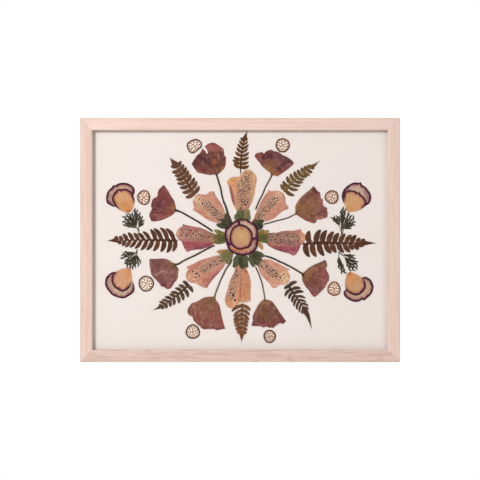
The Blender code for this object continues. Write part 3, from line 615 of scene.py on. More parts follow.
class SharedEffects:
    """Node groups that more than one finish uses."""

    def __init__(self) -> None:
        """Builds every group once."""
        self.veins = self.make_veins()
        self.mottle = self.make_mottle()
        self.grain = self.make_grain()
        self.fibre = self.make_fibre()

    @staticmethod
    def make_veins() -> bpy.types.NodeTree:
        """Fine lines up the UV map: noise squeezed across it and stretched along it, folded to ridges."""
        tree, desk, given, out = new_group(
            "petal veins",
            {"UV": ("Vector", None), "Count": ("Float", 20.0), "Stretch": ("Float", 1.5),
             "Waver": ("Float", 0.6)},
            {"Lines": "Float", "Height": "Float"},
        )
        parts = desk.add("SeparateXYZ", {0: given.outputs["UV"]})
        waver = desk.noise(given.outputs["UV"], 3.0, 2.0)
        shift = desk.off_middle(waver, given.outputs["Waver"])
        across = desk.math("ADD", desk.math("MULTIPLY", parts.outputs[0], given.outputs["Count"]), shift)
        along = desk.math("MULTIPLY", parts.outputs[1], given.outputs["Stretch"])
        line = desk.add("CombineXYZ", {0: across, 1: along}).outputs[0]
        cloud = desk.noise(line, 1.0, 4.0, 0.62)
        ridge = desk.math("ABSOLUTE", desk.off_middle(cloud, 2.0))
        desk.put(out.inputs["Lines"], desk.fit(ridge, 0.0, 0.22, 1.0, 0.0))
        desk.put(out.inputs["Height"], cloud)
        return tree

    @staticmethod
    def make_mottle() -> bpy.types.NodeTree:
        """Uneven drying: two sizes of cloudy patches and fine grit over the surface."""
        tree, desk, given, out = new_group(
            "dried mottle",
            {"Vector": ("Vector", None), "Patch": ("Float", 150.0), "Grit": ("Float", 1500.0)},
            {"Patches": "Float", "Grit": "Float", "Height": "Float"},
        )
        patches = desk.noise(given.outputs["Vector"], given.outputs["Patch"], 4.0, 0.6, 0.4)
        grit = desk.noise(given.outputs["Vector"], given.outputs["Grit"], 2.0, 0.6)
        desk.put(out.inputs["Patches"], desk.fit(patches, 0.3, 0.7))
        desk.put(out.inputs["Grit"], desk.fit(grit, 0.3, 0.72))
        desk.put(out.inputs["Height"], desk.math("ADD", desk.math("MULTIPLY", patches, 0.6),
                                                 desk.math("MULTIPLY", grit, 0.4)))
        return tree

    @staticmethod
    def make_grain() -> bpy.types.NodeTree:
        """Close wood grain along X: stretched streaks, wide soft bands, short pores and small flecks."""
        tree, desk, given, out = new_group(
            "wood grain",
            {"Vector": ("Vector", None)},
            {"Streaks": "Float", "Bands": "Float", "Pores": "Float", "Waves": "Float", "Height": "Float"},
        )
        vector = given.outputs["Vector"]
        streaks = desk.noise(desk.scaled(vector, (9, 620, 620)), 1.0, 5.0, 0.6, 0.3)
        bands = desk.noise(desk.scaled(vector, (2.2, 120, 120)), 1.0, 3.0, 0.5, 0.9)
        pores = desk.noise(desk.scaled(vector, (140, 3600, 3600)), 1.0, 2.0, 0.6)
        pores = desk.fit(pores, 0.62, 0.74)
        folds = desk.noise(desk.scaled(vector, (13, 150, 150)), 1.0, 2.0, 0.5, 0.5)
        valley = desk.math("ABSOLUTE", desk.off_middle(folds, 1.0))
        desk.put(out.inputs["Waves"], desk.fit(valley, 0.0, 0.07, 1.0, 0.0))
        desk.put(out.inputs["Streaks"], desk.fit(streaks, 0.28, 0.72))
        desk.put(out.inputs["Bands"], desk.fit(bands, 0.3, 0.7))
        desk.put(out.inputs["Pores"], pores)
        desk.put(out.inputs["Height"], desk.math("SUBTRACT", streaks, desk.math("MULTIPLY", pores, 0.6)))
        return tree

    @staticmethod
    def make_fibre() -> bpy.types.NodeTree:
        """Matted paper and board fibres: two crossed layers of short stretched noise."""
        tree, desk, given, out = new_group(
            "matted fibre",
            {"Vector": ("Vector", None), "Scale": ("Float", 900.0)},
            {"Fibres": "Float", "Height": "Float"},
        )
        layers = []
        for turn in (0.5, 2.1):
            vector = desk.scaled(given.outputs["Vector"], (0.25, 1, 1.0), (0, turn, 0))
            layers.append(desk.noise(vector, given.outputs["Scale"], 4.0, 0.65, 0.8))
        both = desk.math("MULTIPLY", desk.math("ADD", *layers), 0.5)
        desk.put(out.inputs["Fibres"], desk.fit(both, 0.35, 0.65))
        desk.put(out.inputs["Height"], both)
        return tree


EFFECTS = SharedEffects()


def blank_material(name: str) -> tuple[bpy.types.Material, NodeDesk, bpy.types.Node]:
    """A material with its desk and its Principled shader joined to the output.

    Args:
        name: Name of the material.

    Returns:
        The material, its desk and its shader.
    """
    material = bpy.data.materials.new(name)
    material.use_nodes = True
    return material, NodeDesk(material.node_tree), material.node_tree.nodes["Principled BSDF"]


# Finishes


@dataclass(frozen=True)
class PlantFinish:
    """Dried petal or leaf: its painted tint with veins, mottling, creases, freckles, spots and a rim, painted
    highlights along the veins, and painted shade and highlights at the creases.
    """

    name: str
    vein_count: float = 24.0
    vein_stretch: float = 1.2
    vein_darkness: float = 0.25
    mottle: float = 0.16
    patch: float = 170.0
    # Strength of the painted highlights along the veins.
    streaks: float = 0.2
    # Strength of the painted shade in the creases and of the painted highlights on their ridges.
    creases: float = 0.0
    grit: float = 0.12
    roughness: float = 0.68
    relief: float = 0.00008
    freckles: bool = False
    rim: bool = False
    wither: bool = True

    DARKENING = (0.5, 0.31, 0.25, 1)
    PALING = (0.8, 0.56, 0.4, 1)
    VEIN_HIGHLIGHT = (0.9, 0.62, 0.5, 1)
    FOLD_HIGHLIGHT = (0.8, 0.55, 0.46, 1)
    FOLD_SCALE = 230.0
    FRECKLE_SCALE = 480.0
    FRECKLE, SPOT = (66, 28, 38), (52, 14, 44)
    FRECKLE_HALO, SPOT_HALO = (246, 214, 184), (246, 212, 178)
    MAGENTA, PLUM = (122, 34, 80), (58, 6, 36)

    def made(self) -> bpy.types.Material:
        """The material of this finish."""
        material, desk, shader = blank_material(self.name)
        veins = desk.group(EFFECTS.veins, {"UV": desk.uv(), "Count": self.vein_count,
                                           "Stretch": self.vein_stretch})
        mottle = desk.group(EFFECTS.mottle, {"Vector": desk.where(), "Patch": self.patch})
        patches, grit, edge = mottle.outputs["Patches"], mottle.outputs["Grit"], desk.value("edge")
        colour = desk.colour("tint")
        dark = desk.mix(1.0, colour, self.DARKENING, "MULTIPLY")
        pale = desk.mix(0.3, colour, self.PALING, "SCREEN")
        colour = desk.laid(colour, pale, patches, self.mottle)
        colour = desk.laid(colour, dark, desk.math("SUBTRACT", 1.0, patches), self.mottle * 1.4)
        # Painted highlights: a paler screen of the tint along the veins, by the streaks strength.
        vein_highlight = desk.mix(0.6, colour, self.VEIN_HIGHLIGHT, "SCREEN")
        colour = desk.laid(colour, vein_highlight, desk.fit(veins.outputs["Height"], 0.52, 0.72), self.streaks)
        colour = desk.laid(colour, dark, veins.outputs["Lines"], self.vein_darkness)
        colour = desk.laid(colour, dark, grit, self.grit)
        # Painted shade in the creases and painted highlights on their ridges.
        if self.creases:
            colour = self.crease_shade_and_highlight(desk, colour, dark)
        if self.wither:
            colour = desk.laid(colour, dark, desk.fit(edge, 0.0, 0.9, 0.5, 0.0), patches)
        if self.rim:
            colour = self.stained_rim(desk, colour, edge, veins.outputs["Height"])
        if self.freckles:
            colour = self.freckled(desk, colour, grit)
        rough = desk.fit(patches, 0, 1, self.roughness - 0.08, self.roughness + 0.1)
        unevenness = desk.math("MULTIPLY", mottle.outputs["Height"], 0.6)
        height = desk.math("ADD", veins.outputs["Height"], unevenness)
        desk.fill(shader, {"Base Color": colour, "Roughness": rough, "Specular IOR Level": 0.14,
                           "Normal": desk.bump(height, self.relief)})
        return material

    def crease_shade_and_highlight(self, desk: NodeDesk, colour: object, dark: object) -> Socket:
        """Painted crease shade, dark lines along the middle values of a folded noise, and painted highlights,
        paler patches at its high ones.

        Args:
            desk: Desk of the material.
            colour: Colour before the creases.
            dark: Colour of the painted crease shade.

        Returns:
            The colour with the painted crease shade and highlights.
        """
        folds = desk.noise(desk.where(), self.FOLD_SCALE, 5.0, 0.62, 1.3)
        valley = desk.math("ABSOLUTE", desk.off_middle(folds, 1.0))
        # Painted shade along the creases.
        colour = desk.mix(desk.fit(valley, 0.0, 0.05, self.creases, 0.0), colour, dark)
        # Painted highlights on the crease ridges.
        ridge_highlight = desk.mix(0.5, colour, self.FOLD_HIGHLIGHT, "SCREEN")
        return desk.mix(desk.fit(folds, 0.54, 0.66, 0.0, self.creases * 0.7), colour, ridge_highlight)

    def stained_rim(self, desk: NodeDesk, colour: object, edge: object, streaks: object) -> Socket:
        """Dark plum at the rim that bleeds inwards as magenta, further along the veins.

        Args:
            desk: Desk of the material.
            colour: Colour before the stain.
            edge: Distance to the rim, in millimetres.
            streaks: Uneven value that runs along the veins.

        Returns:
            The stained colour.
        """
        share = desk.value("blush")
        uneven = desk.off_middle(streaks, 8.0)
        bleed = desk.fit(desk.math("ADD", edge, uneven), 1.1, 5.8, 1.0, 0.0)
        colour = desk.laid(colour, rgba(self.MAGENTA), bleed, share)
        line = desk.math("ADD", edge, desk.math("MULTIPLY", uneven, 0.22))
        return desk.laid(colour, rgba(self.PLUM), desk.fit(line, 1.5, 2.8, 1.0, 0.0),
                         desk.math("POWER", share, 0.6))

    def freckled(self, desk: NodeDesk, colour: object, grit: object) -> Socket:
        """Dark freckles in pale rings where the freckle value says, and the large spots.

        Each cell of a flat Voronoi pattern holds one freckle, and its own random value sets its size.

        Args:
            desk: Desk of the material.
            colour: Colour before the freckles.
            grit: Fine noise that makes their rims uneven.

        Returns:
            The freckled colour.
        """
        parts = desk.add("SeparateXYZ", {0: desk.where()})
        flat = desk.add("CombineXYZ", {0: parts.outputs[0], 1: parts.outputs[2]}).outputs[0]
        cells = desk.add("TexVoronoi", {"Vector": flat, "Scale": self.FRECKLE_SCALE, "Randomness": 0.9},
                         voronoi_dimensions="2D")
        chance = desk.add("SeparateColor", {0: cells.outputs["Color"]}).outputs[0]
        wanted = desk.value("freckle")
        size = desk.math("MULTIPLY", wanted, desk.fit(chance, 0.0, 1.0, 0.22, 0.56, soft=False))
        rough = desk.math("ADD", cells.outputs["Distance"], desk.math("MULTIPLY", grit, 0.08))
        reach = desk.math("SUBTRACT", rough, size)
        shown = desk.fit(wanted, 0.08, 0.3)
        colour = desk.laid(colour, rgba(self.FRECKLE_HALO), desk.fit(reach, 0.1, 0.3, 0.55, 0.0), shown)
        colour = desk.laid(colour, rgba(self.FRECKLE), desk.fit(reach, 0.0, 0.1, 0.95, 0.0), shown)
        spot = desk.math("ADD", desk.value("spot"), desk.off_middle(grit, 0.5))
        colour = desk.mix(desk.fit(spot, 0.35, 1.1, 0.6, 0.0), colour, rgba(self.SPOT_HALO))
        return desk.mix(desk.fit(spot, 0.0, 0.45, 0.98, 0.0), colour, rgba(self.SPOT))


@dataclass(frozen=True)
class StemFinish:
    """Dried stem or rib: its painted tint with lengthwise fibres."""

    name: str
    ribs: float = 9.0

    DARKENING = (0.35, 0.3, 0.28, 1)
    PALING = (0.5, 0.36, 0.22, 1)

    def made(self) -> bpy.types.Material:
        """The material of this finish."""
        material, desk, shader = blank_material(self.name)
        fibres = desk.group(EFFECTS.veins, {"UV": desk.uv(), "Count": self.ribs, "Stretch": 5.0,
                                            "Waver": 0.8})
        mottle = desk.group(EFFECTS.mottle, {"Vector": desk.where(), "Patch": 420.0, "Grit": 2600.0})
        tint = desk.colour("tint")
        pale = desk.mix(0.3, tint, self.PALING, "SCREEN")
        dark = desk.mix(1.0, tint, self.DARKENING, "MULTIPLY")
        colour = desk.laid(tint, pale, mottle.outputs["Patches"], 0.5)
        colour = desk.laid(colour, dark, fibres.outputs["Lines"], 0.5)
        rough = desk.fit(mottle.outputs["Grit"], 0, 1, 0.55, 0.8)
        desk.fill(shader, {"Base Color": colour, "Roughness": rough, "Specular IOR Level": 0.2,
                           "Normal": desk.bump(fibres.outputs["Height"], 0.0001)})
        return material


@dataclass(frozen=True)
class MapleFinish:
    """Pale close-grained wood with a satin surface; the grain runs along the rail, and the shade factor
    paints light and shade on it.
    """

    name: str
    upright: bool
    # Palette brightness: on the rails, painted light and shade that differs rail by rail, the bottom rail
    # darkest; on the glue, its darker colour.
    shade: float
    offset: float
    waves: float

    PALE, WARM, STREAK = (240, 218, 208), (230, 203, 190), (208, 176, 159)
    WAVE, PORE = (190, 156, 146), (176, 138, 118)

    def made(self) -> bpy.types.Material:
        """The material of this finish."""
        material, desk, shader = blank_material(self.name)
        turn = (0, math.pi / 2, 0) if self.upright else (0, 0, 0)
        shift = (self.offset, self.offset * 0.37, self.offset * 0.61)
        vector = desk.add("Mapping", {"Vector": desk.where(), "Rotation": turn, "Location": shift}).outputs[0]
        grain = desk.group(EFFECTS.grain, {"Vector": vector}).outputs
        # The palette scaled by the shade factor: painted light and shade on the rails.
        pale, warm, streak = ((*np.clip(linear(colour) * self.shade, 0, 1), 1)
                              for colour in (self.PALE, self.WARM, self.STREAK))
        colour = desk.laid(pale, warm, grain["Bands"], 0.75)
        colour = desk.laid(colour, streak, grain["Streaks"], 0.44)
        colour = desk.laid(colour, rgba(self.WAVE), grain["Waves"], self.waves)
        colour = desk.laid(colour, rgba(self.PORE), grain["Pores"], 0.3)
        rough = desk.fit(grain["Streaks"], 0, 1, 0.42, 0.56)
        desk.fill(shader, {"Base Color": colour, "Roughness": rough, "Specular IOR Level": 0.35,
                           "Normal": desk.bump(grain["Height"], 0.00006)})
        return material


@dataclass(frozen=True)
class BoardFinish:
    """Pressed board or paper: matted fibres, faint clouds and a matt surface."""

    name: str
    base: Colour
    fibre: Colour
    fibre_share: float
    cloud: Colour
    cloud_share: float
    scale: float
    roughness: float
    relief: float

    def made(self) -> bpy.types.Material:
        """The material of this finish."""
        material, desk, shader = blank_material(self.name)
        where = desk.where()
        fibre = desk.group(EFFECTS.fibre, {"Vector": where, "Scale": self.scale})
        mottle = desk.group(EFFECTS.mottle, {"Vector": where, "Patch": 14.0, "Grit": 2400.0})
        colour = desk.laid(rgba(self.base), rgba(self.cloud), mottle.outputs["Patches"], self.cloud_share)
        colour = desk.laid(colour, rgba(self.fibre), fibre.outputs["Fibres"], self.fibre_share)
        rough = desk.fit(mottle.outputs["Grit"], 0, 1, self.roughness - 0.05, self.roughness + 0.05)
        desk.fill(shader, {"Base Color": colour, "Roughness": rough, "Specular IOR Level": 0.25,
                           "Normal": desk.bump(fibre.outputs["Height"], self.relief)})
        return material


@dataclass(frozen=True)
class SteelFinish:
    """Zinc-plated steel: brushed along the strap, with faint crystals and duller patches."""

    name: str
    base: Colour = (186, 190, 194)
    dull: Colour = (150, 152, 152)

    def made(self) -> bpy.types.Material:
        """The material of this finish."""
        material, desk, shader = blank_material(self.name)
        where = desk.where()
        brush = desk.noise(desk.scaled(where, (120, 5200, 5200)), 1.0, 3.0, 0.6)
        crystals = desk.add("TexVoronoi", {"Vector": where, "Scale": 420.0}).outputs["Color"]
        mottle = desk.group(EFFECTS.mottle, {"Vector": where, "Patch": 260.0, "Grit": 2400.0})
        colour = desk.mix(0.06, rgba(self.base), crystals)
        colour = desk.laid(colour, rgba(self.dull), mottle.outputs["Patches"], 0.3)
        desk.fill(shader, {"Base Color": colour, "Metallic": 0.8, "Normal": desk.bump(brush, 0.00003),
                           "Roughness": desk.fit(brush, 0.3, 0.7, 0.3, 0.48)})
        return material


@dataclass(frozen=True)
class GlassFinish:
    """Clear picture glass. Lamp light passes it unbent, so that what lies behind it is lit as it is."""

    name: str = "picture glass"

    BODY, CLEAR, INDEX = (0.985, 0.995, 0.99, 1), (0.985, 0.99, 0.985, 1), 1.5

    def made(self) -> bpy.types.Material:
        """The material of this finish."""
        material, desk, shader = blank_material(self.name)
        desk.fill(shader, {"Base Color": self.BODY, "Transmission Weight": 1.0, "Roughness": 0.0,
                           "IOR": self.INDEX})
        clear = desk.add("BsdfTransparent", {"Color": self.CLEAR}).outputs[0]
        path = desk.add("LightPath").outputs
        passes = desk.math("MAXIMUM", path["Is Shadow Ray"], path["Is Diffuse Ray"])
        both = desk.add("MixShader", {0: passes, 1: shader.outputs[0], 2: clear}).outputs[0]
        desk.put(material.node_tree.nodes["Material Output"].inputs["Surface"], both)
        return material


@dataclass(frozen=True)
class FloorFinish:
    """Pale matt studio floor with a faint cloudiness."""

    name: str = "studio floor"
    base: Colour = (240, 239, 237)
    cloud: Colour = (234, 233, 231)

    def made(self) -> bpy.types.Material:
        """The material of this finish."""
        material, desk, shader = blank_material(self.name)
        cloud = desk.noise(desk.where(), 3.0, 2.0)
        colour = desk.mix(cloud, rgba(self.base), rgba(self.cloud))
        desk.fill(shader, {"Base Color": colour, "Roughness": 0.9})
        return material


def place_piece(name: str, skin: Skin, material: bpy.types.Material,
                nodes: tuple[str, ...] = ()) -> None:
    """Makes an object of a skin, dresses it and has it ride on the frame.

    Args:
        name: Name of the piece.
        skin: Its shells.
        material: Its material.
        nodes: Solids that it stands for.
    """
    piece = bpy.data.objects.new(name, skin.mesh(name))
    piece.data.materials.append(material)
    bpy.context.scene.collection.objects.link(piece)
    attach(piece, "root")
    if nodes:
        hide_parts(*nodes)
    LOG.info("%s: %d points, %d faces", name, skin.count, len(skin.faces))


# Foxgloves


@dataclass(frozen=True)
class Bell:
    """One pressed foxglove bell with its calyx.

    The bell lies between a left and a right edge, which run from its base to its lip, and the lip runs from
    the end of the left one to the end of the right one. Sepals are root, tip, width, bend and colour.
    """

    left: Chain
    lip: Chain
    right: Chain
    base: Colour
    strokes: list[tuple]
    freckles: list[tuple]
    spots: list[tuple[float, float, float]]
    sepals: list[tuple]
    lip_lift: float = 0.3


BELLS = {
    "n": Bell(
        left=[(-0.5, 33), (-4.5, 38.8), (-7.1, 43.4), (-9.1, 47.4), (-11.1, 53.3), (-12.8, 60.6),
              (-13.8, 66.6), (-14.5, 69.9), (-16.2, 73.9), (-17.5, 76.9)],
        lip=[(-17.5, 76.9), (-14.8, 80.5), (-9.8, 83.5), (-3.9, 83.5), (-1.2, 84.5), (1.5, 87.2),
             (5.4, 91.5), (9.4, 93.4), (14, 92.4), (18, 89.1), (20.7, 85.1), (22, 81.1)],
        right=[(6.5, 33), (10.7, 40.1), (12.1, 42.7), (14.7, 47.4), (16.7, 52.7), (18.4, 58), (19.3, 63.3),
               (20.3, 71.9), (21.3, 76.5), (22, 81.1)],
        base=(238, 176, 130),
        strokes=[(-12, 74, -6, 60, 6, (240, 178, 134)), (-16, 78.5, -6, 81, 4, (240, 184, 122)),
                 (-13.8, 69, -8, 49, 4.5, (170, 82, 92), 0.9),
                 (-1.5, 78, -3.5, 50, 2.4, (178, 116, 84), 0.7), (6, 76, 5, 46, 10, (206, 152, 122), 0.75),
                 (3, 64, 5, 52, 5, (196, 118, 62), 0.4), (17.5, 84, 17, 56, 3.5, (238, 184, 132)),
                 (10, 90, 16, 86, 5, (242, 190, 128)), (3, 37, 6, 42, 6, (224, 148, 108))],
        freckles=[(11, 86, 8, 74, 12, 0.75), (5, 70, 5, 44, 16, 0.8)],
        spots=[(7.1, 83.6, 1.2), (12, 81.6, 0.7), (14.6, 77.2, 0.7), (12, 73.8, 0.8), (4.6, 79, 0.6),
               (9.4, 86.4, 0.6)],
        sepals=[(3.2, 22, -0.8, 40.6, 10.6, 0.5, (92, 108, 62)),
                (4, 22, 10.8, 41.4, 7.4, -1.2, (150, 142, 84)), (2, 23, -6.2, 34, 6.4, 1.4, (104, 116, 70)),
                (5, 23, 12.6, 33.5, 5.4, -1.6, (126, 130, 78))],
        lip_lift=0.55,
    ),
    "ne": Bell(
        left=[(15.4, 24.1), (18.6, 29), (20, 33.5), (21.3, 36.1), (22.7, 40.1), (24.6, 44.7), (27.3, 50),
              (30, 54.6), (33.2, 59.3), (35.9, 63.2), (38.2, 66.6)],
        lip=[(38.2, 66.6), (40.9, 64.5), (45.9, 65.3), (50.5, 65.3), (55.2, 63.3), (58.5, 60), (59.8, 54.7),
             (59.8, 50), (61.1, 47.4), (63.8, 44.1), (63.8, 41.4)],
        right=[(17.4, 21.4), (24, 23.4), (30.6, 24.1), (34.6, 24.8), (39.3, 26.1), (43.9, 28.1),
               (47.9, 30.8), (51.2, 34.1), (55.2, 37.4), (59.2, 39.8), (63.8, 41.4)],
        base=(224, 162, 140),
        strokes=[(15.4, 23, 23, 33, 4.5, (190, 92, 32), 0.95), (24, 30, 27, 35, 4, (120, 66, 34), 0.6),
                 (30, 40, 40, 46, 9, (196, 140, 116), 0.75), (36, 60, 27, 48, 4, (218, 146, 128), 0.8),
                 (52, 60, 48, 52, 8, (240, 192, 150), 0.9), (57, 44, 48, 34, 5, (226, 156, 136), 0.8),
                 (60, 44, 62, 43, 3.5, (212, 132, 118), 0.7)],
        freckles=[(27, 32, 42, 50, 12, 0.7), (42, 50, 50, 56, 9, 0.35)],
        spots=[(45, 56.5, 1.1), (49.4, 55.5, 1.2), (52, 53, 0.7), (43, 51.5, 0.8), (49, 48.3, 0.9),
               (42, 47.3, 0.8), (51.9, 58.2, 0.6), (54.8, 55.8, 0.8), (53, 50.5, 0.5)],
        sepals=[(15.5, 14.5, 31.6, 26, 7.5, 1.2, (44, 64, 30)),
                (17, 15.5, 21.5, 27.6, 7, -0.8, (56, 78, 38)), (18, 14, 30.4, 20.6, 6, -1.2, (38, 56, 28))],
    ),
    "e": Bell(
        left=[(30.5, 7.6), (35.5, 8.6), (39.2, 9.2), (43.2, 9.9), (47.9, 9.5), (51.2, 10.5), (56.5, 11.9),
              (61.8, 12.2), (68.4, 12.2), (74.4, 12.8), (78.4, 13.8), (80.7, 13.8)],
        lip=[(80.7, 13.8), (81.7, 10.9), (85, 8.2), (86.9, 3.5), (85.7, -1.1), (82.4, -5.1), (79.7, -7.1),
             (79.1, -10.4), (76.4, -15.1), (73.8, -19), (71.1, -20.7)],
        right=[(30.5, -1.4), (33.9, -3.1), (35.3, -5.4), (39.3, -8.4), (44.6, -11.7), (51.2, -14.1),
               (57.9, -16.1), (64.5, -17.7), (68.5, -19.7), (71.1, -20.7)],
        base=(166, 82, 96),
        strokes=[(36, 5, 46, 4, 8, (164, 108, 66), 0.95), (48, 5, 72, 4, 7, (178, 104, 92), 0.85),
                 (50, 11, 76, 12, 3, (198, 104, 100), 0.8), (74, 10, 80, 12, 5, (206, 116, 108), 0.8),
                 (82, 8, 84, -1, 6.5, (240, 170, 130), 1.0), (42, -5, 52, -5, 5, (182, 112, 60), 0.8),
                 (46, -12.2, 64, -17, 2.6, (120, 62, 104), 0.85),
                 (60, -11, 76, -12, 6, (170, 76, 104), 0.8), (70, -18.5, 73, -19, 3, (196, 100, 110), 0.7)],
        freckles=[(38, 4, 74, 3, 12, 0.85), (46, -3, 72, -4, 7, 0.6)],
        spots=[(74.5, 5.6, 1.0), (73.4, 1.4, 0.8), (66.4, 6.3, 0.8), (61.5, 2.6, 0.8), (56, 6.6, 0.7),
               (68.6, 0.2, 0.7)],
        sepals=[(19, 5.5, 38.4, 12.4, 6.5, -1.0, (176, 138, 72)),
                (19, 2, 37.6, -2.6, 7, 1.0, (102, 110, 46)), (19, 7, 31.5, 14, 5.4, -1.2, (150, 132, 58)),
                (20, 4, 37.6, 4.4, 5.6, 0.4, (96, 104, 42)),
                (21, -1, 29.4, -12.8, 5.5, 1.4, (220, 170, 98))],
    ),
    "se": Bell(
        left=[(24.5, -24.6), (27.5, -25.2), (29.9, -25.7), (35.3, -25.3), (41.2, -26.6), (45.9, -28.9),
              (50.5, -30.9), (56.5, -34.3), (61.8, -37.2), (65.4, -38.6)],
        lip=[(65.4, -38.6), (63.1, -41.9), (65.1, -44.9), (66.1, -49.5), (65.1, -53.5), (63.1, -56.8),
             (59.8, -59.1), (55.2, -58.8), (51.2, -59.5), (48.5, -62.5), (45.2, -63.6), (42.2, -63.1)],
        right=[(19.5, -28.6), (21.5, -32), (24, -36.3), (26, -42.3), (28.6, -46.9), (32.6, -51.5),
               (36.6, -55.2), (40.6, -59.5), (42.2, -63.1)],
        base=(234, 176, 148),
        strokes=[(23, -28, 26, -34, 5, (160, 88, 44), 0.8), (33, -33, 42, -42, 8, (214, 170, 152), 0.8),
                 (30, -27, 56, -37, 3, (234, 164, 144), 0.8), (60, -55, 58, -46, 8, (250, 210, 166), 0.95),
                 (44, -60, 50, -56, 6, (238, 180, 152), 0.7), (27, -40, 38, -54, 3, (222, 152, 134), 0.6)],
        freckles=[(29, -31, 44, -44, 12, 0.72), (44, -44, 50, -50, 9, 0.3)],
        spots=[(58.1, -45.6, 1.1), (53.1, -49.3, 1.0), (55.6, -53.6, 0.7), (58.7, -49.9, 0.7),
               (52.5, -53, 0.6), (55, -47.2, 0.8), (60.8, -52.2, 0.6), (54.2, -50.8, 0.6)],
        sepals=[(13.5, -15.5, 32.2, -22, 7, 0.8, (72, 84, 52)),
                (14, -16.5, 24.2, -33.6, 8.5, 0.6, (66, 80, 50)),
                (13, -17, 18.6, -36, 6.5, -0.6, (84, 96, 62)), (14, -16, 29, -27.2, 7, 0, (58, 70, 44))],
    ),
    "s": Bell(
        left=[(-3, -33), (-6.5, -37.6), (-7.9, -42.9), (-10.5, -47.5), (-13.2, -53.5), (-15.2, -59.4),
              (-16.5, -66.1), (-18.5, -71.4), (-19.8, -78), (-19.8, -81.4)],
        lip=[(-19.8, -81.4), (-18.2, -86), (-15.2, -89.3), (-11.2, -90.5), (-7.9, -89.3), (-5.2, -86.7),
             (-2.6, -84.4), (0.8, -82.7), (4.8, -82.4), (10.1, -81.7), (13.4, -80), (14.1, -76)],
        right=[(6, -33), (8.8, -38.9), (10.8, -42.9), (12.8, -48.2), (14.1, -54.1), (14.4, -59.4),
               (14.1, -66.1), (13.7, -69.4), (14.1, -76)],
        base=(226, 162, 124),
        strokes=[(-8, -46, -14, -80, 4, (226, 160, 128), 0.8), (-4, -40, -8, -66, 5, (206, 146, 124), 0.7),
                 (0.6, -40, 0.4, -80, 1.8, (176, 112, 80), 0.75), (7, -42, 8, -74, 6, (218, 154, 118), 0.8),
                 (13, -50, 13.4, -76, 2.4, (236, 176, 128), 0.8), (2, -36, 8, -40, 5, (150, 98, 62), 0.6),
                 (-14, -87, 10, -81, 4, (242, 184, 134), 0.85),
                 (-17, -66, -18.6, -80, 2, (208, 130, 108), 0.6)],
        freckles=[(-5, -42, -11, -74, 10, 0.7)],
        spots=[(-8.9, -72.6, 1.7), (-6.7, -79.8, 1.6), (-15, -73.4, 0.8), (-8.6, -75.2, 1.0),
               (-12.4, -68, 0.6)],
        sepals=[(1, -15, -8.9, -36.8, 8, 1.0, (78, 92, 58)), (1.2, -15, 3.2, -38.8, 9, 0.3, (58, 64, 44)),
                (2, -15, 10, -36.8, 7.5, -1.0, (72, 86, 52)), (2, -16, 13, -27.2, 6, -1.4, (98, 108, 62)),
                (0, -16, -9, -28.4, 6, 1.2, (86, 98, 62))],
    ),
    "sw": Bell(
        left=[(-24, -20.6), (-29.8, -20.4), (-34.4, -21.3), (-40.4, -23.3), (-47, -25), (-53.6, -27.3),
              (-58.9, -30), (-65, -33), (-71.3, -35.6)],
        lip=[(-71.3, -35.6), (-68.6, -38.9), (-70.3, -41.6), (-71.6, -46.2), (-71.3, -50.9), (-68.9, -54.2),
             (-64.3, -56.5), (-59, -57.2), (-55, -59.5), (-51, -61.8), (-47, -63.5), (-43.4, -63.1)],
        right=[(-20.5, -27), (-19.8, -31.6), (-21.8, -36.2), (-25.8, -40.9), (-29.8, -45.6), (-33.7, -49.5),
               (-37.1, -53.5), (-40.4, -57.5), (-42.4, -60.8), (-43.4, -63.1)],
        base=(218, 154, 134),
        strokes=[(-26, -24, -32, -30, 6, (204, 150, 128), 0.7),
                 (-36, -24, -66, -36, 3, (216, 146, 132), 0.8),
                 (-34, -30, -56, -44, 8, (222, 166, 144), 0.7),
                 (-68, -48, -54, -56, 6, (234, 176, 146), 0.9),
                 (-28, -44, -43, -61, 4.5, (164, 72, 104), 0.95),
                 (-36, -46, -46, -56, 5, (196, 112, 120), 0.6),
                 (-66, -37, -69, -38, 3, (214, 136, 124), 0.7)],
        freckles=[(-26, -26, -48, -38, 10, 0.8), (-48, -38, -60, -44, 7, 0.35)],
        spots=[(-62.6, -41.7, 1.2), (-57, -44.6, 1.3), (-54.2, -47.4, 1.3), (-58.6, -49.8, 1.2),
               (-47.6, -40.2, 1.0), (-53, -35.9, 0.8), (-43.6, -31.6, 0.8), (-48.8, -37, 0.8),
               (-43.4, -37.4, 0.8), (-38.6, -30, 0.6), (-59.4, -44.8, 0.7)],
        sepals=[(-9.5, -12.5, -31, -15.4, 6.5, 1.6, (206, 158, 92)),
                (-9.5, -14, -23.4, -28.4, 9, -0.8, (124, 128, 76)),
                (-9, -15, -17.6, -32.2, 8, -1.0, (134, 132, 88)),
                (-9.5, -13, -27, -20.4, 6.5, 0.6, (140, 136, 84))],
    ),
    "w": Bell(
        left=[(-29, -3), (-33.7, -4.4), (-39.1, -7.8), (-45.7, -10.4), (-51, -12.4), (-57.6, -12.7),
              (-64.3, -13.7), (-68.3, -15.4), (-70.9, -15.4)],
        lip=[(-70.9, -15.4), (-72.9, -12.4), (-74.9, -8.4), (-76.9, -3.8), (-77.6, -1.1), (-80.2, -0.5),
             (-82.9, 2.8), (-84.9, 6.8), (-83.5, 12.1), (-80.2, 16.1), (-76.2, 18.1), (-75.9, 21.5)],
        right=[(-28.5, 5), (-31.4, 6.8), (-34.4, 8.8), (-38.4, 10.2), (-43, 12.1), (-48.4, 14.8),
               (-53.7, 16.5), (-60.3, 17.5), (-66.9, 18.8), (-72.2, 19.8), (-75.9, 21.5)],
        base=(176, 92, 98),
        strokes=[(-36, 6, -52, 8, 7, (190, 116, 84), 0.9), (-54, 8, -74, 6, 8, (206, 128, 112), 0.85),
                 (-83, 6, -82, 13, 5, (238, 170, 140), 1.0), (-72, 15.5, -76, 18, 5, (160, 78, 102), 0.9),
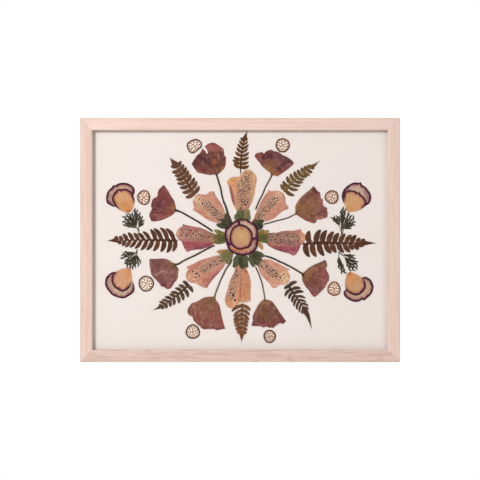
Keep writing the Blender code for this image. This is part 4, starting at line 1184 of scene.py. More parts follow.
                 (-56, 16.2, -68, 17, 2.6, (196, 108, 110), 0.8), (-72, -4, -64, -9, 7, (180, 84, 96), 0.9),
                 (-42, -2, -58, -7, 6, (166, 76, 94), 0.85),
                 (-40, -7.4, -64, -13.2, 1.8, (112, 60, 104), 0.8),
                 (-34, 1, -40, 2, 4.5, (202, 120, 56), 0.85),
                 (-72, -12, -70, -14, 3, (206, 112, 116), 0.7)],
        freckles=[(-36, 5, -74, 8, 12, 0.85)],
        spots=[(-74.6, 9.6, 0.8), (-73.6, 5, 0.9), (-66.8, 3.8, 0.8), (-58.6, 6.4, 1.2), (-60, 3, 0.9),
               (-52.4, 9.2, 0.7), (-70.4, 12.4, 0.6)],
        sepals=[(-13.5, 4, -34.2, 13.4, 6.2, 0.6, (140, 136, 62)),
                (-13.5, 2, -35.4, 5.6, 6.6, 0.2, (104, 112, 46)),
                (-13.5, -0.5, -35, -3.4, 7, -0.6, (116, 122, 54)), (-14, 1, -31, 0.4, 5, 0, (88, 98, 40))],
    ),
    "nw": Bell(
        left=[(-25, 24), (-31.1, 22.5), (-35.8, 24.1), (-40.4, 25.8), (-45.7, 28.4), (-50.3, 32.1),
              (-56.3, 36.1), (-63, 40.1)],
        lip=[(-63, 40.1), (-62.3, 41.4), (-60, 43), (-61, 44.7), (-62.3, 48.7), (-62.3, 52.7),
             (-60.6, 55.6), (-58.3, 59.3), (-53.7, 61), (-48.3, 60.3), (-44.4, 60.3), (-41.1, 63.3),
             (-37.7, 64.6), (-34.4, 64.3)],
        right=[(-20.5, 29), (-19.8, 34.1), (-20.8, 38.7), (-22.4, 43.4), (-25.1, 48), (-28.4, 52.7),
               (-31.1, 56.6), (-33.4, 60.6), (-34.4, 64.3)],
        base=(226, 166, 142),
        strokes=[(-24, 28, -32, 34, 6, (176, 118, 88), 0.7), (-30, 34, -40, 44, 8, (206, 152, 132), 0.75),
                 (-23.5, 45, -33, 60, 2.2, (196, 96, 108), 0.75),
                 (-56, 54, -54, 46, 7, (242, 198, 158), 0.95), (-60, 41, -44, 30, 3, (220, 150, 132), 0.8),
                 (-40, 60, -46, 52, 5, (226, 160, 138), 0.7)],
        freckles=[(-27, 30, -42, 46, 12, 0.75), (-42, 46, -50, 50, 9, 0.3)],
        spots=[(-53.6, 54.4, 0.9), (-49.9, 48.3, 1.3), (-54.8, 47, 0.9), (-49.3, 53.2, 0.9),
               (-51.3, 55.8, 0.6), (-55.5, 50.4, 0.6), (-52, 45, 0.7), (-47.5, 41, 0.6),
               (-39.5, 45.8, 0.9)],
        sepals=[(-10.5, 14.5, -31.6, 20.2, 7.5, -1.0, (62, 74, 40)),
                (-10.5, 15.5, -24.6, 27, 9, 0, (54, 64, 38)),
                (-10.5, 16.5, -18.6, 35.6, 8.5, 0.8, (66, 78, 46))],
    ),
}


def between(left: Chain, far: Chain, right: Chain, rows: int, columns: int, fray: float, seed: int,
            spread: float = 1.6) -> tuple[np.ndarray, np.ndarray, np.ndarray]:
    """Grid of places between two edges and a far rim.

    Each row is the straight line between the edges at one share of their lengths. What the rim departs from
    the last such line is added to every row, by the share to the power of spread.

    Args:
        left: Edge from the base to the rim's start.
        far: The rim.
        right: Edge from the base to the rim's end.
        rows: Rows from base to rim.
        columns: Columns from left to right.
        fray: Size of the rim's small jags.
        seed: Choice of the jags.
        spread: How soon the rim's shape shows in the rows below it.

    Returns:
        The places, the share across and the share along at each.
    """
    across, along = np.meshgrid(np.linspace(0, 1, columns), np.linspace(0, 1, rows))
    sides = [evenly(rounded(chain), rows) for chain in (left, right)]
    rim = frayed(evenly(rounded(far), columns), fray, seed)
    ruled = sides[0][:, None] * (1 - across)[..., None] + sides[1][:, None] * across[..., None]
    departure = rim - ruled[-1]
    return ruled + departure[None] * (along**spread)[..., None], across, along


def blade(root: Place, tip: Place, width: float, bend: float, rows: int, columns: int, crenate: float = 0.0,
          teeth: float = 5.0, belly: float = 0.45, blunt: float = 0.14, full: float = 1.0,
          foot: float = 0.0) -> tuple[np.ndarray, np.ndarray, np.ndarray]:
    """Grid of places over a leaf-shaped blade.

    The middle line is a parabola from root to tip, pushed sideways by bend at its middle. The half width is
    the sine of pi times the share along it to a power that puts the widest place at the belly, raised to the
    power full, with rounded teeth added. It is never less than a blunt share of the full one, nor, near the
    stalk, than a share that falls from foot to 0.

    Args:
        root: Place of the stalk end.
        tip: Place of the far end.
        width: Full width.
        bend: Sideways push, to the left of the direction to the tip.
        rows: Rows from root to tip.
        columns: Columns across.
        crenate: Height of the rounded teeth as a share of the half width.
        teeth: Number of teeth on each side.
        belly: Share of the length at which the blade is widest.
        blunt: Least width as a share of the full one.
        full: 1 for a pointed blade, less for one with even sides and a round end.
        foot: Width at the stalk end as a share of the full one, for a blade that widens into its stalk.

    Returns:
        The places, the share across from -1 to 1 and the share along at each.
    """
    root_at, tip_at = np.asarray(root, float), np.asarray(tip, float)
    run = tip_at - root_at
    length = np.linalg.norm(run)
    left = np.array((-run[1], run[0])) / length
    across, along = np.meshgrid(np.linspace(-1, 1, columns), np.linspace(0, 1, rows))
    share = along[:, :1]
    middle = root_at + run * share + left * (4 * bend * share * (1 - share))
    heading = run + left * (4 * bend * (1 - 2 * share))
    heading /= np.linalg.norm(heading, axis=1, keepdims=True)
    side = np.stack((-heading[:, 1], heading[:, 0]), axis=-1)
    half = np.clip(np.sin(np.pi * share ** (math.log(0.5) / math.log(belly))), 0, 1) ** full
    half = half * (1 + crenate * np.abs(np.sin(np.pi * teeth * share)) - crenate / 2)
    half = np.maximum(half, foot * np.clip(1 - share / FOOT_LENGTH, 0, 1) ** 0.7)
    half = np.maximum(half, blunt * np.sqrt(np.clip(1.02 - share, 0.02, 1))) * width / 2
    places = middle[:, None] + side[:, None] * (across * half)[..., None]
    return places, across, along


def blade_paint(tint: np.ndarray, across: np.ndarray, upward: np.ndarray,
                width: float) -> dict[str, np.ndarray]:
    """Painted values of a blade: its colours, its UV and the distance to its edge."""
    return {
        "tint": np.clip(tint, 0, 1),
        "uv": np.stack((across * 0.5 + 0.5, upward), axis=-1),
        "edge": (1 - np.abs(across)) * width / 2,
    }


@dataclass
class Foxgloves:
    """Eight pressed foxglove bells, each a thin wrinkled sheet with green sepals laid over its base."""

    rows: int = 60
    columns: int = 44
    fray: float = 0.16
    petal_thickness: float = 0.14
    level: float = 0.18
    lowest: float = 0.16
    crown: float = 0.22
    curl: float = 0.22
    pleat: float = 0.07
    pleats_across: float = 5.5
    wrinkles: Waves = ((0.07, 7), (0.025, 2.4))
    freckle_share: float = 1.4
    sepal_thickness: float = 0.16
    sepal_level: float = 0.62
    sepal_step: float = 0.06
    midrib: Colour = (176, 170, 110)
    # Its streaks paint highlights along the veins, and its creases paint shade and highlights at the creases.
    petal: PlantFinish = PlantFinish("foxglove petal", vein_count=26, vein_darkness=0.36, freckles=True,
                                     mottle=0.36, grit=0.12, patch=260.0, streaks=0.5, creases=0.3,
                                     relief=0.00014)
    sepal: PlantFinish = PlantFinish("foxglove sepal", vein_count=9, vein_stretch=0.8, vein_darkness=0.4,
                                     mottle=0.2)

    def bell(self, bell: Bell, seed: int) -> Skin:
        """Builds the sheet of one bell.

        The height is a flat-topped crown across the bell, plus pleats that fan from its base, small wrinkles
        and a curl at the lip.

        Args:
            bell: The bell.
            seed: Choice of its wrinkles.

        Returns:
            Its skin.
        """
        places, across, along = between(bell.left, bell.lip, bell.right, self.rows, self.columns, self.fray,
                                        seed)
        crown = self.crown * (1 - (2 * across - 1) ** 6)
        waver = 0.5 * Ripple(seed, 30).at(places)
        pleats = self.pleat * np.sin(2 * np.pi * (self.pleats_across * across + waver))
        creases = (pleats + wrinkled(places, seed, self.wrinkles)) * smooth(along, -0.2, 0.3)
        curl = self.curl * smooth(along, 0.86, 1.0) * (0.6 + 0.5 * Ripple(seed + 4, 9).at(places))
        heights = self.level + bell.lip_lift * smooth(along, 0.3, 1.0) + crown + creases + curl
        spots = np.array(bell.spots)
        far = np.linalg.norm(places[:, :, None] - spots[None, None, :, :2], axis=-1) - spots[:, 2]
        freckle = sum(Stroke(*band[:5], strength=band[5]).weight(places) for band in bell.freckles)
        outline = np.concatenate((border_of(places), places[0, :1]))
        paint = {
            "tint": painted(places, bell.base, bell.strokes),
            "uv": np.stack((across, along * 1.3), axis=-1),
            "edge": distance_to(places, outline),
            "spot": far.min(-1),
            "freckle": np.clip(self.freckle_share * freckle, 0, 1),
        }
        skin = Skin()
        add_sheet(skin, places, np.maximum(heights, self.lowest), self.petal_thickness, paint)
        return skin

    def calyx(self, bell: Bell) -> Skin:
        """Builds the sepals of one bell: blades with a sunken midrib, each a little above the one before.

        Args:
            bell: The bell that carries the sepals.

        Returns:
            Their skin.
        """
        skin = Skin()
        for order, (x0, z0, x1, z1, width, bend, colour) in enumerate(bell.sepals):
            places, across, along = blade((x0, z0), (x1, z1), width, bend, 22, 13, crenate=0.06, teeth=3.5,
                                          belly=0.6, blunt=0.3, full=0.48)
            rib = 0.1 * np.exp(-((across / 0.16) ** 2)) * (1 - along)
            dome = 0.1 * (1 - across**2) + 0.04 * Ripple(order + 3, 3.0).at(places)
            heights = self.sepal_level + self.sepal_step * order + dome - rib
            shade = (0.62 + 0.34 * along + 0.1 * Ripple(order + 20, 4.0).at(places))[..., None]
            midrib = (0.35 * np.exp(-((across / 0.12) ** 2)) * (1 - 0.6 * along))[..., None]
            tint = linear(colour) * shade * (1 - midrib) + linear(self.midrib) * midrib * 0.6
            add_sheet(skin, places, heights, self.sepal_thickness, blade_paint(tint, across, along, width))
        return skin

    def build(self) -> None:
        """Builds every bell and calyx in the place of its solid."""
        petal, sepal = self.petal.made(), self.sepal.made()
        for number, (where, bell) in enumerate(BELLS.items()):
            nodes = (f"foxglove_{where}",)
            skin = self.bell(bell, 100 + 10 * number)
            place_piece(f"foxglove_bell_{where}", skin, petal, nodes)
            place_piece(f"foxglove_calyx_{where}", self.calyx(bell), sepal, nodes)


# Poppies


@dataclass(frozen=True)
class Poppy:
    """One pressed poppy head with its stem.

    The head lies between two edges that leave the stem and a far rim. Extra petals are the same three lines
    with a height above or below the head.
    """

    left: Chain
    rim: Chain
    right: Chain
    base: Colour
    strokes: list[tuple]
    stem: Chain
    stem_widths: tuple[float, float]
    stem_colours: tuple[Colour, Colour]
    petals: list[tuple[Chain, Chain, Chain, float]] = field(default_factory=list)
    fray: float = 0.22
    end_lift: float = 0.0


POPPY_HEADS = {
    "nne": Poppy(
        left=[(40.9, 85.2), (39.9, 88.8), (35.3, 92.5), (29.9, 97.1), (26, 102.4), (22.6, 106.4),
              (19.3, 110.7)],
        rim=[(19.3, 110.7), (20.7, 114.4), (25.3, 116), (29.3, 116.4), (31.9, 114.4), (33.9, 116.7),
             (37.2, 118.7), (41.9, 119.7), (43.9, 118), (48.5, 117.4), (52.5, 115.7), (56.5, 112.7),
             (61.8, 110.4), (66.5, 107.4), (69.8, 104.4), (71.2, 101.7)],
        right=[(42.6, 84.8), (45.2, 85.8), (48.5, 84.4), (51.9, 85.8), (55.8, 88.5), (61.1, 92.1),
               (65.8, 95.8), (69.8, 99.4), (71.2, 101.7)],
        base=(132, 70, 70),
        strokes=[(34, 113, 68, 104, 7, (98, 34, 54), 0.95), (22, 113, 28, 110, 6, (152, 66, 70), 0.9),
                 (21, 108, 30, 97, 3, (166, 82, 70), 0.8), (30, 108, 38, 112, 5, (86, 28, 48), 0.9),
                 (36, 97, 42, 90, 8, (168, 118, 76), 0.95), (38, 104, 44, 100, 6, (152, 106, 74), 0.8),
                 (46, 106, 54, 102, 6, (142, 88, 88), 0.7), (57, 90, 66, 99, 4, (152, 84, 96), 0.9),
                 (51.5, 95, 61, 103, 3.6, (74, 22, 40), 0.95), (44, 86.6, 50, 87, 4, (182, 118, 70), 0.95)],
        stem=[(42.2, 87.5), (41.6, 84.5), (39.2, 79.9), (36.6, 75.2), (33.3, 69.2), (31.9, 65.3),
              (29.3, 59.3), (26, 53.3), (23.4, 47.3), (20.6, 40.4)],
        stem_widths=(2.4, 1.6), stem_colours=((96, 62, 34), (34, 26, 24)),
        petals=[([(44, 86), (46.5, 90), (49, 95), (53, 100.5), (58, 106)], [(58, 106), (63, 106.6),
                (68, 103.6)], [(47, 85.6), (53, 88), (60, 93), (65, 97.5), (68.6, 101)], 0.28)],
    ),
    "ene": Poppy(
        left=[(73.2, 35.2), (73.4, 41.4), (73.1, 44), (75.7, 49.3), (79.1, 54.6), (84.4, 59.9),
              (88.4, 63.3), (97.9, 71.5)],
        rim=[(97.9, 71.5), (100.9, 67.9), (101.9, 65.3), (104.9, 63.9), (106.6, 60.6), (106.9, 55.3),
             (109.8, 53.4), (109.6, 48), (111.6, 44.7), (114.9, 43.1), (115.4, 40.7), (114.5, 38.7),
             (116.5, 36.7), (115.9, 33.4), (115.5, 30.4), (110.2, 28.4)],
        right=[(74.4, 33.6), (76.4, 32.7), (79.7, 30.1), (84, 28), (90, 26.4), (97, 26.6), (103, 27.4),
               (110.2, 28.4)],
        base=(152, 104, 80),
        strokes=[(76, 38, 86, 46, 11, (164, 120, 72), 0.9), (82, 50, 96, 64, 6, (140, 92, 78), 0.7),
                 (96, 69, 101, 64, 4.5, (112, 46, 56), 0.95), (100, 62, 88, 58, 3.2, (112, 62, 58), 0.6),
                 (104, 58, 110, 44, 5, (168, 98, 96), 0.9), (94, 54, 101, 42, 7, (158, 108, 90), 0.6),
                 (103, 36, 115, 40, 3.4, (122, 44, 56), 0.95), (92, 32, 113, 33.5, 2.0, (120, 66, 58), 0.7),
                 (112, 32, 100, 29.5, 2.6, (172, 104, 104), 0.9),
                 (74, 35, 80, 39.4, 2.2, (84, 56, 38), 0.8), (75, 34, 82, 32, 1.6, (104, 72, 50), 0.7)],
        stem=[(75.4, 35.6), (73.6, 34.6), (69.1, 32.1), (64.5, 29.8), (59.2, 28.1), (52.5, 26.5),
              (45.9, 24.8), (39.3, 22.8), (34, 21.5), (31, 20.9)],
        stem_widths=(2.2, 1.4), stem_colours=((112, 74, 34), (58, 42, 28)), fray=0.42,
        petals=[([(84, 27.4), (88.4, 25.1), (95, 22.8), (97.6, 22.2)], [(97.6, 22.2), (99.4, 22.4),
                (101, 24.5), (103, 27.4), (105, 29.8)], [(84, 30), (90, 31), (98, 31.4), (105, 29.8)],
                -0.12), ([(96, 29.6), (101, 28.4), (106.3, 26.8), (110.2, 28.4)], [(110.2, 28.4), (112, 29),
                (113.6, 31)], [(96, 32), (102, 32.6), (108, 32.4), (113.6, 31)], -0.05)],
    ),
    "ese": Poppy(
        left=[(82.4, -44.6), (85, -42.3), (90.5, -37.4), (98.9, -32.5), (108.6, -28.4), (112.6, -26)],
        rim=[(112.6, -26), (114.9, -30.3), (115.5, -33.7), (113.9, -37), (115.9, -41.6), (117.9, -46.9),
             (117.9, -50.9), (117.2, -54.2), (114.5, -59.5), (111.6, -63.5), (108.6, -67.1), (104.9, -70.5),
             (102.3, -73.5), (98.3, -75.7)],
        right=[(81.7, -46.4), (82.2, -50.2), (83, -54.2), (85, -58.8), (87.7, -62.8), (91.7, -67.4),
               (95, -72.7), (98.3, -75.7)],
        base=(142, 86, 74),
        strokes=[(84, -46, 92, -44, 8, (154, 112, 70), 0.9), (92, -41, 106, -36, 7, (162, 112, 80), 0.85),
                 (104, -37, 110, -42, 5, (152, 74, 76), 0.8), (112, -44, 112, -60, 6, (166, 90, 96), 0.9),
                 (92, -60, 104, -68, 7, (140, 80, 80), 0.8), (90, -52, 92, -50, 3.4, (196, 118, 74), 0.75),
                 (84, -46, 98, -56, 2.6, (112, 62, 54), 0.6), (96, -72, 100, -74, 3.4, (176, 88, 94), 0.8),
                 (83, -45, 85.6, -49.6, 2.4, (104, 84, 62), 0.85)],
        stem=[(85, -46), (83, -44.9), (79.1, -42.6), (73.8, -39.3), (67.8, -35.9), (61.8, -32.9),
              (56.5, -30.3), (51.2, -28), (45.9, -25.3), (39.9, -23), (33.9, -21.3), (32.4, -20.8)],
        stem_widths=(2.8, 2.0), stem_colours=((58, 44, 32), (30, 24, 22)), fray=0.5,
    ),
    "sse": Poppy(
        left=[(33.7, -78.9), (37.2, -79.4), (41.9, -81.1), (45.2, -84.7), (48.5, -89.4), (51.9, -94.7),
              (55.2, -99.3), (58.5, -104), (61.1, -107.3)],
        rim=[(61.1, -107.3), (59.5, -109.3), (57.1, -111), (53.2, -110.3), (50.5, -111.9), (47.2, -113.6),
             (44.8, -116.2), (41.2, -116), (38.6, -117), (37.2, -115.2), (33.3, -114.8), (31.6, -116.2),
             (28, -114.5), (21.3, -114.2), (16.3, -113.9), (15.3, -111.9)],
        right=[(31.6, -79), (28.6, -80.7), (25.3, -84.7), (22.7, -88.7), (20, -94), (17.7, -98.6),
               (16.7, -101.9), (17, -107.2), (15.3, -111.9)],
        base=(132, 82, 62),
        strokes=[(30, -83, 36, -84, 6, (170, 120, 78), 0.85), (32, -90, 34, -100, 8, (136, 92, 62), 0.8),
                 (20, -106, 34, -111, 7, (124, 54, 62), 0.9), (48, -104, 56, -106, 7, (126, 52, 64), 0.95),
                 (57, -104, 60, -107, 3.4, (156, 62, 78), 0.9), (19, -98, 23, -90, 3, (162, 84, 78), 0.8),
                 (24, -113, 50, -112, 2.4, (150, 60, 72), 0.8), (42, -92, 40, -102, 4, (108, 60, 50), 0.6)],
        stem=[(33, -81.5), (32.6, -78.7), (32.6, -75.4), (31.7, -70), (30.4, -63), (28.9, -56.2),
              (26.6, -49.5), (24, -42.9), (21.3, -36.9), (20.2, -35.4)],
        stem_widths=(2.3, 1.5), stem_colours=((118, 88, 52), (52, 42, 32)), fray=0.6,
    ),
    "ssw": Poppy(
        left=[(-32.4, -76.6), (-31.8, -79.4), (-28.4, -84), (-26.5, -89.3), (-24.8, -98), (-23.1, -105.9),
              (-21.1, -113.2), (-19.5, -117.9)],
        rim=[(-19.5, -117.9), (-22.5, -117.9), (-27.1, -118.9), (-31.8, -119.5), (-35.1, -117.9),
             (-40.4, -117.9), (-45, -118.2), (-49, -117.9), (-51.6, -115.9), (-54.9, -113.2),
             (-58.9, -109.6), (-62.2, -105.9), (-62.9, -102.3), (-67.9, -99.3), (-69.9, -95.3)],
        right=[(-35, -75.6), (-37.1, -75.1), (-43.7, -75.4), (-49, -76.8), (-53.6, -79.7), (-58.3, -82.1),
               (-63.6, -83.7), (-66.2, -86.7), (-68.9, -90.7), (-69.9, -95.3)],
        base=(158, 98, 84),
        strokes=[(-44, -80, -36, -90, 9, (150, 106, 74), 0.85),
                 (-36, -79, -40, -84, 5, (126, 102, 62), 0.8),
                 (-50, -104, -34, -112, 8, (150, 74, 74), 0.9),
                 (-26, -104, -24, -114, 5, (162, 86, 82), 0.9),
                 # Painted highlights along two pleats, and after the dark rim corner, painted shade along two
                 # pleats.
                 (-62, -88, -58, -100, 3, (182, 126, 112), 0.75),
                 (-55, -84, -52, -102, 2, (180, 128, 108), 0.65),
                 (-68, -90, -69, -96, 2.6, (84, 34, 44), 0.9),
                 (-65, -86, -60, -104, 1.6, (128, 60, 62), 0.7),
                 (-58, -86, -56, -104, 1.3, (126, 64, 62), 0.6),
                 (-50, -116.5, -24, -117.6, 2.2, (124, 50, 54), 0.8)],
        stem=[(-34.4, -78), (-33.8, -75.4), (-31.8, -69), (-28.4, -60.1), (-25.8, -53.5), (-22.5, -46.9),
              (-19.1, -39.6), (-15.2, -33.9), (-12.4, -30), (-10.6, -26)],
        stem_widths=(2.4, 1.7), stem_colours=((122, 92, 56), (56, 46, 36)), fray=0.3,
    ),
    "wsw": Poppy(
        left=[(-84.6, -34.6), (-81.5, -38.3), (-81.9, -42.9), (-82.5, -49.5), (-84.2, -53.5),
              (-86.9, -56.8), (-90.8, -62.8), (-94.1, -65.1)],
        rim=[(-94.1, -65.1), (-97.4, -64.8), (-100.1, -62.8), (-104.1, -61.5), (-106.7, -58.1),
             (-109.4, -54.8), (-113.4, -50.9), (-116.7, -46.9), (-118, -43.5), (-119.3, -36.9),
             (-120, -31.6), (-120, -24.9)],
        right=[(-86.2, -31.2), (-90.8, -29), (-94.8, -26.3), (-100.1, -24.9), (-106.7, -24.6),
               (-113.4, -25.1), (-120, -24.9)],
        base=(144, 96, 92),
        strokes=[(-85.4, -31, -84.4, -37, 2.4, (66, 50, 42), 0.9),
                 (-114, -30, -108, -36, 8, (124, 78, 80), 0.8),
                 (-104, -40, -98, -46, 7, (156, 116, 108), 0.85),
                 (-88, -33, -94, -30, 5, (148, 106, 66), 0.9),
                 (-83, -40, -84, -50, 3.4, (164, 112, 76), 0.9),
                 (-118, -28, -118, -42, 2.2, (160, 96, 100), 0.8),
                 (-100, -60, -106, -54, 5, (128, 62, 72), 0.85),
                 # Painted highlight and painted shade on the two sides of a fold.
                 (-89.4, -52, -94.4, -62, 1.5, (192, 112, 122), 0.85),
                 (-87.4, -53, -92, -61, 1.1, (78, 26, 40), 0.85),
                 (-96, -64, -93, -64.6, 2, (162, 74, 88), 0.8)],
        stem=[(-88, -34.6), (-85.6, -32.8), (-82.6, -32), (-80.2, -31), (-75.6, -28), (-70.3, -25.3),
              (-63.6, -22.3), (-57, -19), (-50.3, -15.4), (-43.7, -11.7), (-38.4, -9.1), (-33.9, -6.9)],
        stem_widths=(3.8, 2.1), stem_colours=((74, 64, 50), (56, 46, 40)), fray=0.26,
    ),
    "wnw": Poppy(
        left=[(-84.7, 37.9), (-86.9, 36), (-89.5, 33.4), (-93.5, 31), (-102.7, 26.8), (-110.7, 24.8),
              (-117.4, 24.8)],
        rim=[(-117.4, 24.8), (-120, 30.7), (-119.7, 35.4), (-117, 41.4), (-118, 44.7), (-117.4, 49.3),
             (-115, 54.7), (-110, 57.3), (-109.4, 61.3), (-108, 65.9), (-104.7, 69.9), (-101.1, 73)],
        right=[(-84.6, 40), (-85.4, 44), (-86.2, 48.7), (-88.1, 53.3), (-92.1, 59.3), (-96.1, 66.6),
               (-101.1, 73)],
        base=(132, 60, 66),
        strokes=[(-87, 40, -88, 46, 6, (166, 110, 64), 0.9), (-92, 36, -98, 38, 5, (156, 92, 66), 0.7),
                 (-90, 54, -98, 66, 3, (144, 76, 64), 0.8), (-112, 42, -106, 48, 7, (100, 40, 62), 0.85),
                 (-100, 30, -108, 32, 5, (164, 92, 84), 0.8), (-102, 66, -106, 62, 4, (140, 60, 68), 0.8),
                 (-116, 28, -112, 28, 3.4, (120, 48, 64), 0.8),
                 (-94, 34, -110, 27, 1.3, (196, 122, 104), 0.6)],
        stem=[(-86.6, 39.8), (-84.5, 39), (-82.5, 38.7), (-76.9, 36.4), (-70.3, 32.7), (-65, 29.7),
              (-56.3, 24.7), (-50.3, 20.8), (-43.7, 16.8), (-37.7, 12.5), (-36.2, 11.6)],
        stem_widths=(3.2, 2.1), stem_colours=((28, 22, 20), (30, 22, 20)), fray=0.2,
    ),
    "nnw": Poppy(
        left=[(-32.2, 86.4), (-33.7, 86.8), (-39.7, 86.2), (-45.7, 87.2), (-51.7, 88.5), (-56.3, 89.8),
              (-59.6, 93.8), (-61.9, 97.1), (-64.2, 101)],
        rim=[(-64.2, 101), (-60.9, 106.4), (-57.6, 111.4), (-53.6, 114.7), (-48.6, 116), (-43.4, 115),
             (-38, 117.4), (-32, 116), (-26.4, 117.4), (-22.8, 115), (-20.5, 112), (-18.5, 109)],
        right=[(-30.2, 86.2), (-29.1, 87.2), (-25.1, 90.5), (-21.8, 93.8), (-19.5, 98.4), (-18.8, 103.7),
               (-18.5, 109)],
        base=(126, 66, 62),
        strokes=[(-60, 101, -52, 108, 8, (92, 28, 42), 0.95), (-46, 108, -42, 104, 7, (74, 26, 44), 0.95),
                 (-36, 96, -28, 94, 7, (122, 70, 42), 0.85), (-30, 100, -26, 108, 6, (104, 58, 48), 0.8),
                 (-33.6, 105.4, -32.6, 102.6, 3.4, (196, 116, 48), 0.95),
                 (-20.4, 108, -20.4, 99, 2.2, (136, 62, 68), 0.9),
                 (-24, 92.6, -21.6, 96, 3, (196, 134, 92), 0.85),
                 (-58, 93, -50, 89.6, 2.6, (166, 82, 78), 0.85),
                 (-44, 88.6, -34, 88.2, 3, (128, 76, 44), 0.8),
                 (-50, 112, -40, 114, 3, (100, 40, 46), 0.7)],
        stem=[(-31.6, 88), (-31, 85.5), (-29.4, 81.2), (-27.8, 75.2), (-25.8, 69.2), (-24.1, 60),
              (-22.8, 54.7), (-21.1, 49.3), (-19.5, 46), (-17.8, 40.7), (-16.5, 35.4), (-15.1, 30.8),
              (-13.5, 26), (-13.8, 21)],
        stem_widths=(2.2, 2.9), stem_colours=((46, 36, 26), (38, 34, 24)), end_lift=0.55,
        petals=[([(-44, 107), (-43, 112.4), (-42.6, 116.4), (-44.4, 120.4), (-47, 123.7)], [(-47, 123.7),
                (-43.7, 126.6), (-39.7, 128.6), (-34.4, 129), (-30.4, 127), (-26.4, 124.4), (-22.4, 121.4)],
                [(-22, 104), (-21.4, 110), (-21, 115), (-21.4, 119), (-22.4, 121.4)], -0.26), ([(-58, 108),
                (-56.4, 111), (-53.6, 114.7), (-51.6, 117.7), (-50, 120.7)], [(-50, 120.7), (-48.6, 120.4),
                (-47.7, 119.7)], [(-47, 108), (-45.6, 112), (-45.2, 116.2), (-47.7, 119.7)], -0.14)],
    ),
}
# Strokes of the extra petals that lie below a head.
BACK_PETAL_STROKES = {
    "nnw": [(-44, 124, -26, 122, 9, (178, 104, 94), 1.0), (-50, 118, -50, 112, 6, (150, 76, 76), 1.0),
            (-36, 127, -30, 125, 2.4, (150, 84, 80), 0.7), (-40, 118, -28, 118, 4, (150, 82, 78), 0.7)],
    "ene": [(86, 26, 97, 24, 5, (160, 88, 62), 1.0), (102, 29, 110, 29, 4, (218, 156, 126), 1.0)],
}


